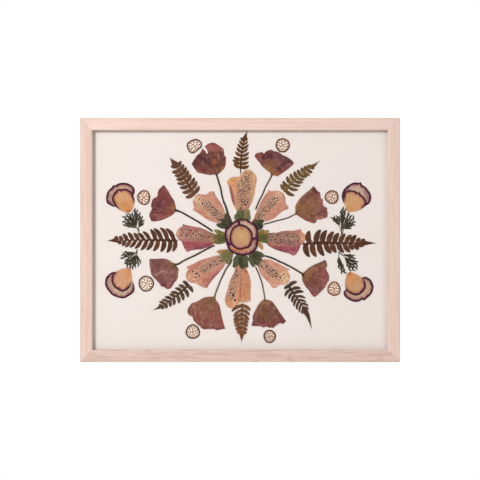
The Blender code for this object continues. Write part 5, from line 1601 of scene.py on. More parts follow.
@dataclass
class Poppies:
    """Eight pressed poppies: a pleated head, in places of several petals, and a dry stem."""

    rows: int = 56
    columns: int = 60
    thickness: float = 0.12
    level: float = 0.36
    lowest: float = 0.15
    crown: float = 0.2
    curl: float = 0.2
    wide_pleat: float = 0.075
    wide_count: int = 9
    fine_pleat: float = 0.04
    fine_count: int = 21
    wrinkles: Waves = ((0.09, 8), (0.03, 2.2))
    petal_fray: float = 0.15
    stem_points: int = 90
    stem_fullness: float = 1.2
    slim_stem: float = 2.0
    # Its streaks paint highlights along the veins, and its creases paint shade and highlights at the creases.
    head_finish: PlantFinish = PlantFinish("poppy petal", vein_count=46, vein_stretch=1.6, vein_darkness=0.6,
                                           mottle=0.34, grit=0.28, relief=0.0002, patch=320.0,
                                           streaks=0.6, creases=0.38)
    stem_finish: StemFinish = StemFinish("poppy stem")

    def petal(self, skin: Skin, lines: tuple[Chain, Chain, Chain], lift: float, fray: float, base: Colour,
              strokes: list[tuple], seed: int) -> None:
        """Adds one petal.

        The height is a low crown, plus two sets of pleats that fan from the stem and fade towards it, small
        wrinkles, and a curl at the rim.

        Args:
            skin: Skin that gets the petal.
            lines: Its left edge, rim and right edge.
            lift: Height above the head's own level.
            fray: Size of the jags at its rim.
            base: Its colour.
            strokes: Strokes of other colours.
            seed: Choice of its jags and wrinkles.
        """
        places, across, along = between(*lines, self.rows, self.columns, fray, seed, 1.25)
        crown = self.crown * (1 - (2 * across - 1) ** 6)
        waver = 0.5 * Ripple(seed, 26).at(places)
        pleats = self.wide_pleat * np.sin(2 * np.pi * (self.wide_count * across + waver))
        pleats = pleats + self.fine_pleat * np.sin(2 * np.pi * (self.fine_count * across - waver))
        creases = (pleats + wrinkled(places, seed, self.wrinkles)) * smooth(along, 0.0, 0.35)
        curl = self.curl * smooth(along, 0.88, 1.0) * (0.6 + 0.6 * Ripple(seed + 4, 7).at(places))
        heights = self.level + lift + crown + creases + curl
        paint = {
            "tint": painted(places, base, strokes),
            "uv": np.stack((across, along * 1.2 + seed), axis=-1),
            "edge": distance_to(places, np.concatenate((border_of(places), places[0, :1]))),
        }
        add_sheet(skin, places, np.maximum(heights, self.lowest), self.thickness, paint)

    def stem(self, poppy: Poppy) -> Skin:
        """Builds the stem: a flattened tube, widest at the head, with a knotty outline.

        Args:
            poppy: The poppy.

        Returns:
            The stem's skin.
        """
        line = evenly(rounded(poppy.stem), self.stem_points)
        share = np.linspace(0, 1, self.stem_points)
        knots = 1 + 0.07 * Ripple(7, 5).at(line) + 0.04 * Ripple(8, 1.7).at(line)
        top, foot = poppy.stem_widths
        slim = min(foot, self.slim_stem)
        widths = np.interp(share, (0, 0.1, 0.5, 1), (top, slim, slim, foot)) * (self.stem_fullness * knots)
        widths *= 1 - 0.35 * smooth(share, 0.985, 1.0)
        tall = np.minimum(widths, 1.5) * 0.55
        rise = 0.34 * smooth(-share, -0.08, 0.0) + poppy.end_lift * smooth(share, 0.62, 0.8)
        ends = [linear(colour) for colour in poppy.stem_colours]
        fade = smooth(share, 0.1, 0.75)[:, None]
        skin = Skin()
        add_stalk(skin, line, widths, tall, 0.03 + tall / 2 + rise, ends[0] * (1 - fade) + ends[1] * fade)
        return skin

    def build(self) -> None:
        """Builds every head and stem in the place of its solid."""
        head_material, stem_material = self.head_finish.made(), self.stem_finish.made()
        for number, (where, poppy) in enumerate(POPPY_HEADS.items()):
            nodes, seed = (f"poppy_{where}",), 300 + 20 * number
            skin = Skin()
            below = BACK_PETAL_STROKES.get(where, [])
            for extra, (*lines, lift) in enumerate(poppy.petals):
                strokes = poppy.strokes if lift > 0 else below
                self.petal(skin, lines, lift, self.petal_fray, poppy.base, strokes, seed + 7 + extra)
            head = (poppy.left, poppy.rim, poppy.right)
            self.petal(skin, head, 0.0, poppy.fray, poppy.base, poppy.strokes, seed)
            place_piece(f"poppy_head_{where}", skin, head_material, nodes)
            place_piece(f"poppy_stem_{where}", self.stem(poppy), stem_material, nodes)


# Ferns


@dataclass(frozen=True)
class Frond:
    """One fern frond: its rib from stalk to tip, and the tips of the leaflets on both sides of it.

    Leaflets leave the rib between two shares of its length, which can differ on the right, with their
    spacing closing up by a power, and ever smaller ones follow them to the tip. Bend curves them, and close
    is their width as a share of their spacing.
    """

    rib: Chain
    left_tips: Chain
    right_tips: Chain
    colour: Colour
    tip_colour: Colour
    rib_colour: Colour
    width: float
    leafy: tuple[float, float] = (0.03, 0.8)
    leafy_right: tuple[float, float] | None = None
    closing: float = 1.0
    bend: float = 0.13
    close: float = 0.9


FRONDS = {
    "n": Frond(
        rib=[(0.9, 88.4), (0.8, 92.5), (1.5, 106.4), (4.1, 126.3), (5.8, 134.2), (9.7, 144.6)],
        left_tips=[(-8.4, 101.6), (-9.8, 106.9), (-8.5, 110.4), (-6, 117.4), (-4.2, 122.7), (-2.9, 127.6),
                   (-0.5, 131.9), (1.1, 136.2)],
        right_tips=[(12, 98.7), (11.4, 104), (11.4, 110.4), (11.8, 116.4), (10.1, 121.7), (11.4, 127),
                    (10.2, 131.3), (10.2, 135.6)],
        colour=(116, 72, 22), tip_colour=(122, 80, 30), rib_colour=(70, 40, 14), width=5.4,
        leafy=(0.1, 0.8), close=0.95,
    ),
    "ne": Frond(
        rib=[(59.4, 65.1), (63.1, 69.9), (69.1, 76.5), (83, 89.1), (90.9, 95.1), (98.9, 99.8),
             (106.2, 105.4)],
        left_tips=[(54.5, 74.6), (57.2, 78.5), (62.5, 84.8), (67.4, 88.5), (72.4, 91.5), (77, 93.8),
                   (82, 96.4), (86, 98.4), (89.7, 99.8)],
        right_tips=[(72.7, 59.3), (77.4, 66.9), (80.7, 72.5), (84, 76.9), (85.7, 80.5), (89.3, 84.2),
                    (93, 86.2), (96.3, 89.8), (98.9, 95.1)],
        colour=(112, 84, 36), tip_colour=(126, 98, 48), rib_colour=(150, 116, 60), width=5.8,
        leafy=(-0.02, 0.8), close=0.93,
    ),
    "e": Frond(
        rib=[(87.5, -4.2), (100, -3.8), (130, -4.1), (160, -4.6), (181.5, -4.1)],
        left_tips=[(92.3, 12.5), (107.3, 13.8), (115.2, 13.1), (124.5, 11.2), (131.5, 9.2), (139.8, 8.2),
                   (148.1, 6.8), (154.4, 6.5), (159.6, 2.6), (165.3, 1.5)],
        right_tips=[(92.6, -22.8), (101.6, -22.4), (111.9, -21), (121.5, -17.7), (128.1, -16.7),
                    (138.1, -16.7), (146.4, -16.1), (150.7, -12.7), (157, -13), (160.7, -9.8)],
        colour=(98, 56, 28), tip_colour=(112, 66, 34), rib_colour=(66, 34, 16), width=7.6,
        leafy=(0.0, 0.842), leafy_right=(-0.062, 0.838), closing=0.92, close=0.98,
    ),
    "se": Frond(
        rib=[(63, -60.4), (65.8, -62.9), (69.1, -68.1), (78.4, -80.7), (87, -94.6), (91, -102.6),
             (95.3, -118.5)],
        left_tips=[(76.1, -55.5), (80.7, -64.1), (84.7, -69.1), (87, -77.4), (88, -83.1), (91, -88),
                   (91.3, -92)],
        right_tips=[(58.8, -65.4), (59.8, -75.4), (64.8, -78.7), (68.9, -83), (71.7, -88.3), (75.4, -92.7),
                    (79, -96.3), (82.7, -98.9)],
        colour=(82, 60, 46), tip_colour=(126, 80, 46), rib_colour=(44, 32, 28), width=5.4,
        leafy=(-0.01, 0.57), close=0.94,
    ),
    "s": Frond(
        rib=[(3.4, -85.4), (2.7, -92.7), (2.1, -102.6), (2.1, -122.5), (2.1, -136.1)],
        left_tips=[(13.7, -94), (12.7, -100.3), (12, -106.6), (11, -110.6), (10.4, -114.9), (9.7, -119.9),
                   (8.7, -124.2)],
        right_tips=[(-11.2, -95.3), (-8.6, -102), (-8.6, -107.2), (-8.2, -111), (-7.2, -114.9),
                    (-5.9, -119.2), (-4.2, -123.2)],
        colour=(140, 92, 58), tip_colour=(152, 96, 54), rib_colour=(110, 72, 44), width=6.2,
        leafy=(-0.02, 0.78), close=1.0, bend=0.12,
    ),
    "sw": Frond(
        rib=[(-68.9, -58.4), (-71.5, -62.8), (-76.9, -67.4), (-87.5, -76.7), (-93.5, -81.3), (-106.7, -89),
             (-115.4, -93.3)],
        left_tips=[(-62.9, -69.8), (-69.2, -76.4), (-75.5, -80.4), (-81.2, -84.4), (-88.1, -86.7),
                   (-92.8, -88.7), (-98.5, -91), (-102.4, -92)],
        right_tips=[(-76.2, -54.9), (-81.9, -60.2), (-86.5, -64.1), (-92.2, -69.5), (-94.2, -72.5),
                    (-100.1, -75.8), (-103.8, -79.4), (-107.4, -82.1), (-107.8, -86)],
        colour=(92, 68, 48), tip_colour=(120, 82, 52), rib_colour=(58, 42, 32), width=5.2,
        leafy=(-0.01, 0.84), close=0.92,
    ),
    "w": Frond(
        rib=[(-86.4, -0.7), (-100, 0), (-120, 0), (-140, -0.3), (-160, -1), (-177, -1.1)],
        left_tips=[(-89.7, -15.3), (-97.3, -17), (-105.4, -15.7), (-115.3, -14.7), (-124.3, -13.4),
                   (-131.9, -13.4), (-139.9, -11.4), (-146.5, -9.8), (-152.5, -9.4), (-156.5, -7.8),
                   (-160.5, -5.8)],
        right_tips=[(-98.8, 15.2), (-106.4, 16.5), (-114.7, 15.5), (-119.3, 14.2), (-129.3, 11.2),
                    (-135.9, 9.5), (-141.3, 9.2), (-148.9, 9.9), (-155.6, 8.2), (-159.9, 5.5),
                    (-164.9, 5.5)],
        colour=(96, 52, 24), tip_colour=(110, 62, 30), rib_colour=(62, 30, 14), width=6.4,
        leafy=(-0.072, 0.855), leafy_right=(-0.035, 0.903), closing=0.93, close=0.86,
    ),
    "nw": Frond(
        rib=[(-61.2, 60.6), (-62.9, 64.6), (-66.2, 69.9), (-74.9, 82.5), (-80.2, 90.5), (-86.8, 100.4),
             (-93.5, 110.1)],
        left_tips=[(-72.5, 56.6), (-76.9, 63.2), (-80.2, 69.9), (-83.8, 75.5), (-84.8, 80.9), (-86.8, 85.8),
                   (-90.5, 90.5), (-92.1, 98.4)],
        right_tips=[(-54.3, 71.9), (-57.6, 78.5), (-60.9, 83.2), (-65.6, 87.5), (-68.6, 92.5),
                    (-71.5, 97.1), (-74.9, 100.8), (-78.5, 105.1)],
        colour=(116, 74, 46), tip_colour=(120, 78, 48), rib_colour=(86, 52, 32), width=6.4,
        leafy=(-0.02, 0.78), close=1.0,
    ),
}


@dataclass
class Ferns:
    """Eight pressed fern fronds: toothed leaflets with sunken midribs, on a thin rib."""

    thickness: float = 0.12
    level: float = 0.24
    step: float = 0.03
    rib_points: int = 120
    rib_widths: tuple[float, float] = (1.5, 0.4)
    rib_level: float = 0.26
    least_width: float = 2.8
    end_spacing: float = 2.1
    end_reach: float = 0.62
    end_width: float = 1.0
    finish: PlantFinish = PlantFinish("fern leaf", vein_count=7, vein_stretch=3.0, vein_darkness=0.35,
                                      mottle=0.14, grit=0.3, relief=0.0001)

    def leaflet(self, skin: Skin, root: np.ndarray, tip: np.ndarray, width: float, bend: float, order: int,
                colours: tuple[np.ndarray, np.ndarray]) -> None:
        """Adds one leaflet: a blade with a raised border, a sunken midrib and a tip that lifts a little.

        Args:
            skin: Skin that gets the leaflet.
            root: Its place on the rib.
            tip: Its tip.
            width: Its full width.
            bend: Its sideways push.
            order: Number on its side.
            colours: Linear colours of the blade and the midrib.
        """
        places, across, along = blade(tuple(root), tuple(tip), width, bend, 20, 11, crenate=0.1, teeth=6.5,
                                      belly=0.4, blunt=0.16, full=0.52, foot=1.4)
        rib = np.exp(-((across / 0.14) ** 2))
        form = 0.09 * np.abs(across) - 0.07 * rib * (1 - along) + 0.14 * along**3
        heights = self.level + self.step * (order % 3) + form + 0.03 * Ripple(order, 2.5).at(places)
        base, dark = colours
        shade = (1.06 - 0.2 * along + 0.1 * Ripple(order + 40, 3.5).at(places))[..., None]
        tint = base * shade * (1 - 0.5 * rib[..., None]) + dark * 0.5 * rib[..., None]
        upward = along + np.abs(across) * 0.25 + order
        add_sheet(skin, places, heights, self.thickness, blade_paint(tint, across, upward, width))

    def side(self, skin: Skin, frond: Frond, rib: np.ndarray, tips: Chain, turn: int) -> None:
        """Adds the leaflets of one side, and ever smaller ones beyond them that run into the tip.

        A leaflet's width is a share of the spacing, measured square to the leaflet. A further leaflet keeps
        the last read one's direction from the rib, and its reach shrinks by the share of the way to the rib's
        end, so that the frond ends in a narrow toothed blade.

        Args:
            skin: Skin that gets the leaflets.
            frond: The frond.
            rib: Points of its rib.
            tips: Leaflet tips of this side.
            turn: 1 for the left side, -1 for the right one.
        """
        count = len(tips)
        start, end = frond.leafy if turn > 0 or frond.leafy_right is None else frond.leafy_right
        shares = start + (end - start) * ((np.arange(count) + 0.5) / count) ** frond.closing
        places, read = evenly(rib, 0, shares), np.asarray(tips, float)
        steps, reaches = np.gradient(places, axis=0), read - places
        crossed = steps[:, 0] * reaches[:, 1] - steps[:, 1] * reaches[:, 0]
        spacing = np.abs(crossed) / np.linalg.norm(reaches, axis=1)
        gap = float(np.linalg.norm(places[-1] - places[-2]))

        extra = max(round(float(np.linalg.norm(rib[-1] - places[-1])) / self.end_spacing), 4)
        more = (np.arange(extra) + 1) / (extra + 1)
        level = float(np.argmin(np.linalg.norm(rib - read[-1], axis=1))) / (len(rib) - 1)
        sideways = read[-1] - evenly(rib, 0, np.array([level]))[0]
        onward = shares[-1] + (1 - shares[-1]) * more * 0.97
        ahead = np.minimum(onward + max(level - shares[-1], 0.0) * (1 - more) * 0.75, 1.0)
        beyond = evenly(rib, 0, ahead) + sideways * (self.end_reach * (1 - more[:, None]) ** 1.05)

        roots = np.concatenate((places, evenly(rib, 0, onward)))
        ends = np.concatenate((read, beyond))
        first_end = 0.6 * min(gap * frond.close, frond.width)
        widths = np.concatenate((np.clip(spacing * frond.close, self.least_width, frond.width),
                                 np.linspace(first_end, self.end_width, extra)))
        colours = linear(frond.colour), linear(frond.tip_colour), linear(frond.rib_colour)
        for order, (root, tip, width) in enumerate(zip(roots, ends, widths)):
            share = order / len(roots)
            base = colours[0] * (1 - share) + colours[1] * share
            base = base * (0.9 + 0.2 * math.sin(order * 2.4 + turn))
            bend = turn * frond.bend * float(np.linalg.norm(tip - root)) * (1 - 0.5 * share)
            self.leaflet(skin, root, tip, float(width), bend, order + (50 if turn > 0 else 0),
                         (base, colours[2]))

    def frond(self, frond: Frond) -> Skin:
        """Builds one frond: the leaflets of both sides, and the rib over them.

        Args:
            frond: The frond.

        Returns:
            Its skin.
        """
        rib = evenly(rounded(frond.rib), self.rib_points)
        skin = Skin()
        self.side(skin, frond, rib, frond.left_tips, 1)
        self.side(skin, frond, rib, frond.right_tips, -1)
        widths = np.linspace(*self.rib_widths, self.rib_points)
        colours = np.tile(linear(frond.rib_colour), (self.rib_points, 1))
        add_stalk(skin, rib, widths, widths * 0.5, self.rib_level + widths * 0.25, colours, 8)
        return skin

    def build(self) -> None:
        """Builds every frond in the place of its solid."""
        material = self.finish.made()
        for where, frond in FRONDS.items():
            place_piece(f"fern_frond_{where}", self.frond(frond), material, (f"fern_{where}",))


# Sprigs


@dataclass(frozen=True)
class Spray:
    """One conifer sprig: its foot, the forks on its twig, and each fork's branch tips."""

    foot: Place
    forks: list[tuple[Place, Chain]]


SPRAYS = {
    "ne": Spray((135.1, 6.5), [
        ((131.6, 19), [(121.5, 30.4), (124.6, 31.6), (128.2, 32.2), (131.4, 31.4)]),
        ((134.6, 12), [(133.8, 39.6), (136.6, 43.4), (139.6, 41.4), (144.4, 36.2)]),
        ((137.4, 15.4), [(147.6, 33), (151.4, 30.4), (152.2, 25), (151.7, 20.8), (147.4, 15.8)]),
    ]),
    "se": Spray((130.8, -16), [
        ((136, -19.6), [(151.4, -21), (152.6, -24.9), (149, -22.6)]),
        ((139, -23), [(155.4, -29.6), (156.2, -34), (155.4, -38.2), (151.6, -40.8), (146.6, -41)]),
        ((131, -22), [(139.4, -44.6), (135.4, -43.9), (131.4, -38.3), (130, -31)]),
    ]),
    "sw": Spray((-136.5, -12.1), [
        ((-138.6, -17), [(-154.8, -16.6), (-157, -20.4), (-158, -24.9), (-152.6, -28.6)]),
        ((-138.4, -19.6), [(-152, -32), (-150.6, -36), (-147.2, -38.8), (-143, -38.4)]),
        ((-137.2, -20), [(-139, -36.6), (-134.6, -34.8), (-131.2, -31.4), (-134, -26)]),
    ]),
    "nw": Spray((-134.2, 10.8), [
        ((-137.4, 16), [(-154.8, 20.4), (-155.4, 25), (-151, 23.4), (-151.6, 27.4), (-154.6, 31.6),
         (-150.8, 34.6)]),
        ((-137.6, 18.4), [(-148, 31.4), (-146.8, 35), (-143.6, 35.4), (-140.2, 41), (-137.2, 39.4),
         (-136.4, 32)]),
        ((-134.6, 17), [(-133.4, 36), (-130, 31.2), (-127.6, 27), (-127.4, 22.4)]),
    ]),
}


@dataclass
class Sprigs:
    """Four conifer sprigs: branches of scaly twiglets on a thin twig."""

    thickness: float = 0.16
    level: float = 0.24
    step: float = 0.05
    scale_length: float = 0.9
    dark: Colour = (34, 42, 26)
    light: Colour = (72, 78, 50)
    axis_width: float = 1.8
    twiglet_width: float = 1.4
    longest: float = 5.2
    spacing: float = 3.1
    twig_points: int = 24
    twig_colours: tuple[Colour, Colour] = ((56, 52, 38), (96, 100, 66))
    finish: PlantFinish = PlantFinish("conifer scale leaf", vein_count=4, vein_stretch=14.0,
                                      vein_darkness=0.45, mottle=0.3, grit=0.3, relief=0.00012)
    twig_finish: StemFinish = StemFinish("conifer twig", 6.0)

    def twiglet(self, skin: Skin, root: np.ndarray, tip: np.ndarray, width: float, bend: float,
                order: int) -> None:
        """Adds one twiglet: a narrow blade whose rounded teeth are its rows of scale leaves, with painted
        shade between them and towards its sides.

        Args:
            skin: Skin that gets the twiglet.
            root: Its lower end.
            tip: Its tip.
            width: Its full width.
            bend: Its sideways push.
            order: Number that sets its level and its shade.
        """
        scales = max(round(float(np.linalg.norm(tip - root)) / self.scale_length), 3)
        places, across, along = blade(tuple(root), tuple(tip), width, bend, 4 * scales + 1, 5, crenate=0.34,
                                      teeth=scales, belly=0.5, blunt=0.3, full=0.5)
        ridge = 0.2 * (1 - across**2) * (0.7 + 0.3 * np.abs(np.sin(np.pi * scales * along)))
        heights = self.level + self.step * (order % 5) + ridge + 0.1 * along
        share = 0.5 + 0.5 * math.sin(order * 2.39)
        base = linear(self.dark) * (1 - share) + linear(self.light) * share
        # Painted shade: darker between the scale leaves and towards the twiglet's sides, where its ridge
        # falls away.
        shade_between_scales = 0.5 * np.abs(np.cos(np.pi * scales * along)) ** 6
        tint = base * (1.1 - shade_between_scales - 0.25 * np.abs(across))[..., None]
        add_sheet(skin, places, heights, self.thickness, blade_paint(tint, across, along, width))

    def branch(self, skin: Skin, root: np.ndarray, tip: np.ndarray, bend: float, order: int) -> None:
        """Adds one branch: its scaly axis, and twiglets that leave it to both sides and shorten outwards.

        Args:
            skin: Skin that gets the branch.
            root: Its lower end.
            tip: Its tip.
            bend: Its sideways push.
            order: Number of the branch.
        """
        self.twiglet(skin, root, tip, self.axis_width, bend, order)
        run = tip - root
        length = float(np.linalg.norm(run))
        left = np.array((-run[1], run[0])) / length
        count = max(int(length * 0.72 / self.spacing), 2)
        for step in range(count):
            share = 0.34 + 0.58 * (step + 0.5) / count
            start = root + run * share + left * (4 * bend * share * (1 - share))
            turn = 1 if (step + order) % 2 else -1
            angle = turn * math.radians(15 + 4 * math.sin(order + step))
            heading = run / length * math.cos(angle) + left * math.sin(angle)
            reach = min((0.2 + 0.34 * (1 - share)) * length * 0.7 + 1.0, self.longest)
            end = start + heading * reach
            self.twiglet(skin, start, end, self.twiglet_width, 0.1 * turn, order * 9 + step)

    def build(self) -> None:
        """Builds every sprig in the place of its solid, with its twig as a piece of its own."""
        leaf, wood = self.finish.made(), self.twig_finish.made()
        widths = np.linspace(1.15, 0.8, self.twig_points)
        colours = np.linspace(*(linear(colour) for colour in self.twig_colours), self.twig_points)
        for where, spray in SPRAYS.items():
            skin, twigs = Skin(), Skin()
            foot, order = np.array(spray.foot), 0
            for fork, tips in spray.forks:
                middle = (foot + fork) / 2 + (0.3, 0)
                line = evenly(rounded([foot, middle, fork]), self.twig_points)
                add_stalk(twigs, line, widths, widths * 0.7, 0.04 + widths * 0.35, colours, 8)
                for tip in tips:
                    order += 1
                    side = np.cross(fork - foot, np.subtract(tip, fork))
                    self.branch(skin, np.array(fork), np.array(tip), 0.3 * float(np.sign(side)), order)
            nodes = (f"sprig_{where}",)
            place_piece(f"sprig_leaves_{where}", skin, leaf, nodes)
            place_piece(f"sprig_twig_{where}", twigs, wood, nodes)


# Seed slices


@dataclass(frozen=True)
class Slice:
    """One slice of a seed pod: its middle, its rim's outline or size, and its colours."""

    middle: Place
    size: tuple[float, float]
    pull: float
    phase: float
    rim: Colour
    outline: Chain | None = None


SLICES = {
    "nne": Slice(middle=(56.6, 125.7), size=(19.0, 19.2), pull=0.02, phase=0.4, rim=(104, 54, 26)),
    "ene": Slice(middle=(121.7, 56.9), size=(18.5, 18.4), pull=0.03, phase=1.0, rim=(122, 66, 32)),
    "ese": Slice(middle=(124.7, -64.8), size=(17.8, 19.2), pull=0.04, phase=1.4, rim=(142, 84, 44)),
    "sse": Slice(middle=(39.3, -127.8), size=(16.7, 17.9), pull=0.02, phase=2.5, rim=(92, 50, 32)),
    "ssw": Slice(middle=(-62.6, -121.7), size=(19.1, 19.4), pull=0.03, phase=3.6, rim=(88, 44, 22)),
    "wsw": Slice(middle=(-124.4, -57.8), size=(20.6, 21.2), pull=0.02, phase=4.4, rim=(86, 62, 48)),
    "wnw": Slice(middle=(-127.6, 56.3), size=(17.5, 20.0), pull=0.03, phase=5.2, rim=(118, 62, 26)),
    "nnw": Slice(
        middle=(-60.3, 124.3), size=(20.6, 19.6), pull=0.0, phase=0.0, rim=(90, 50, 26),
        outline=[(-70.6, 127.3), (-67.6, 130.6), (-62.3, 133.3), (-57, 133.9), (-52.3, 131.3),
                 (-50.4, 127.6), (-51.3, 123), (-55.6, 119.3), (-59.6, 116), (-63.6, 114.7), (-67.6, 117),
                 (-70.2, 122.3)],
    ),
}


@dataclass
class SeedSlices:
    """Eight thin slices of a seed pod: a brown wall round pale chambers that thin walls part, and a core."""

    spokes: int = 180
    rings: int = 44
    wall: float = 2.0
    core: float = 0.7
    level: float = 0.32
    body_rise: float = 0.34
    wall_rise: float = 0.62
    skin_below: float = 0.03
    chamber_rings: tuple[tuple[float, int], ...] = ((0.31, 4), (0.56, 9), (0.785, 14))
    pale: Colour = (255, 247, 233)
    rose: Colour = (160, 66, 24)
    moss: Colour = (138, 84, 30)
    core_colour: Colour = (160, 62, 30)
    finish: PlantFinish = PlantFinish("seed pod slice", vein_count=60, vein_darkness=0.05, mottle=0.02,
                                      grit=0.05, relief=0.00005, wither=False)

    def chambers(self, radius: float, seed: int) -> np.ndarray:
        """Middles of the chambers: rings of them, a little uneven, and one in the core.

        Args:
            radius: Mean radius of the slice.
            seed: Choice of the unevenness.

        Returns:
            Their places round the slice's middle.
        """
        draw = np.random.default_rng(seed)
        found = [np.zeros((1, 2))]
        for share, count in self.chamber_rings:
            uneven = draw.uniform(-0.16, 0.16, count)
            turn = 2 * np.pi * (np.arange(count) + uneven) / count + draw.uniform(0, 6)
            reach = radius * share * (1 + draw.uniform(-0.05, 0.05, count))
            found.append(np.stack((reach * np.cos(turn), reach * np.sin(turn)), axis=-1))
        return np.concatenate(found)

    def rim(self, cut: Slice, turn: np.ndarray, seed: int) -> np.ndarray:
        """The slice's rim round its middle: its read outline, or else an ellipse with three soft corners.

        Args:
            cut: The slice.
            turn: Angles of its spokes, in radians.
            seed: Choice of the unevenness.

        Returns:
            One place for each spoke.
        """
        if cut.outline:
            return evenly(rounded(cut.outline, closed=True), self.spokes + 1)[:-1] - np.array(cut.middle)
        reach = 1 + cut.pull * np.cos(3 * (turn - cut.phase)) + 0.012 * np.sin(7 * turn + seed)
        around = np.stack((np.cos(turn), np.sin(turn)), axis=-1)
        return around * np.array(cut.size) / 2 * reach[:, None]

    def slice(self, cut: Slice, seed: int) -> Skin:
        """Builds one slice over rings of places round its middle.

        The thin walls lie where the two nearest chamber middles are about as far away. Wall, core and rim
        stand higher than the chambers' skins, and the colours follow the same distances.

        Args:
            cut: The slice.
            seed: Choice of its unevenness.

        Returns:
            Its skin.
        """
        turn = 2 * np.pi * np.arange(self.spokes) / self.spokes
        rim = self.rim(cut, turn, seed)
        share = np.linspace(0, 1, self.rings)[:, None, None]
        offsets = rim[None] * share
        places = np.array(cut.middle) + offsets
        inside = np.linalg.norm(rim, axis=1)[None] * (1 - share[..., 0])
        middles = self.chambers(float(np.mean(cut.size)) / 2, seed)
        near = np.sort(np.linalg.norm(offsets[:, :, None] - middles[None, None], axis=-1), axis=-1)
        knots = 1 - smooth(near[..., 2] - near[..., 0], 0.9, 1.7)
        web = np.maximum(0.3 * (1 - smooth(near[..., 1] - near[..., 0], 0.3, 0.85)), knots)
        wall = 1 - smooth(inside, self.wall - 0.3, self.wall + 0.15)
        core = 1 - smooth(np.linalg.norm(offsets, axis=-1), self.core, self.core + 0.45)
        second = np.exp(-(((inside - self.wall - 0.75) / 0.28) ** 2)) * 0.5
        body = np.maximum.reduce((web, core, second))
        uneven = Ripple(seed, 3.0).at(places)
        wall_rise = self.wall_rise * wall * np.sqrt(np.clip(inside / 0.5, 0.12, 1))
        heights = self.level + self.body_rise * body + wall_rise + 0.04 * uneven
        body, wall, core = body[..., None], wall[..., None], core[..., None]
        mix = smooth(Ripple(seed + 5, 4.5).at(places), -0.3, 0.5)[..., None]
        tint = linear(self.pale) * (1 - 0.1 * smooth(uneven, 0.1, 0.9))[..., None] * (1 - body)
        tint = tint + (linear(self.rose) * (1 - mix) + linear(self.moss) * mix) * body
        tint = tint * (1 - core) + linear(self.core_colour) * core
        bark = linear(cut.rim) * (0.86 + 0.22 * Ripple(seed + 9, 1.6).at(places))[..., None]
        paint = {
            "tint": np.clip(tint * (1 - wall) + bark * wall, 0, 1),
            "uv": np.stack(np.broadcast_arrays(turn[None] / (2 * np.pi), share[..., 0]), axis=-1).copy(),
            "edge": inside,
        }
        skin = Skin()
        add_fan(skin, places, heights, heights - self.skin_below, paint)
        return skin

    def build(self) -> None:
        """Builds every slice in the place of its solid."""
        material = self.finish.made()
        for number, (where, cut) in enumerate(SLICES.items()):
            skin = self.slice(cut, 500 + 11 * number)
            place_piece(f"seed_slice_disc_{where}", skin, material, (f"seed_slice_{where}",))


# Corner petals and the rosette in the middle


class VeinFan(Enum):
    """How the veins of a broad petal run."""

    FROM_BASE = "from its base"
    UPRIGHT = "upright and side by side"


@dataclass(frozen=True)
class BroadPetal:
    """One broad stained petal: its outline, the base its veins leave from, and its colours.

    The plum rim starts where the share of the way from the base to the rim passes the two blush values.
    """

    outline: Chain
    base_at: Place
    colour: Colour
    strokes: list[tuple]
    lift: float
    blush_from: float = 0.3
    blush_to: float = 0.62
    strength: float = 1.0
    veins: VeinFan = VeinFan.FROM_BASE
    cup: float = 0.22


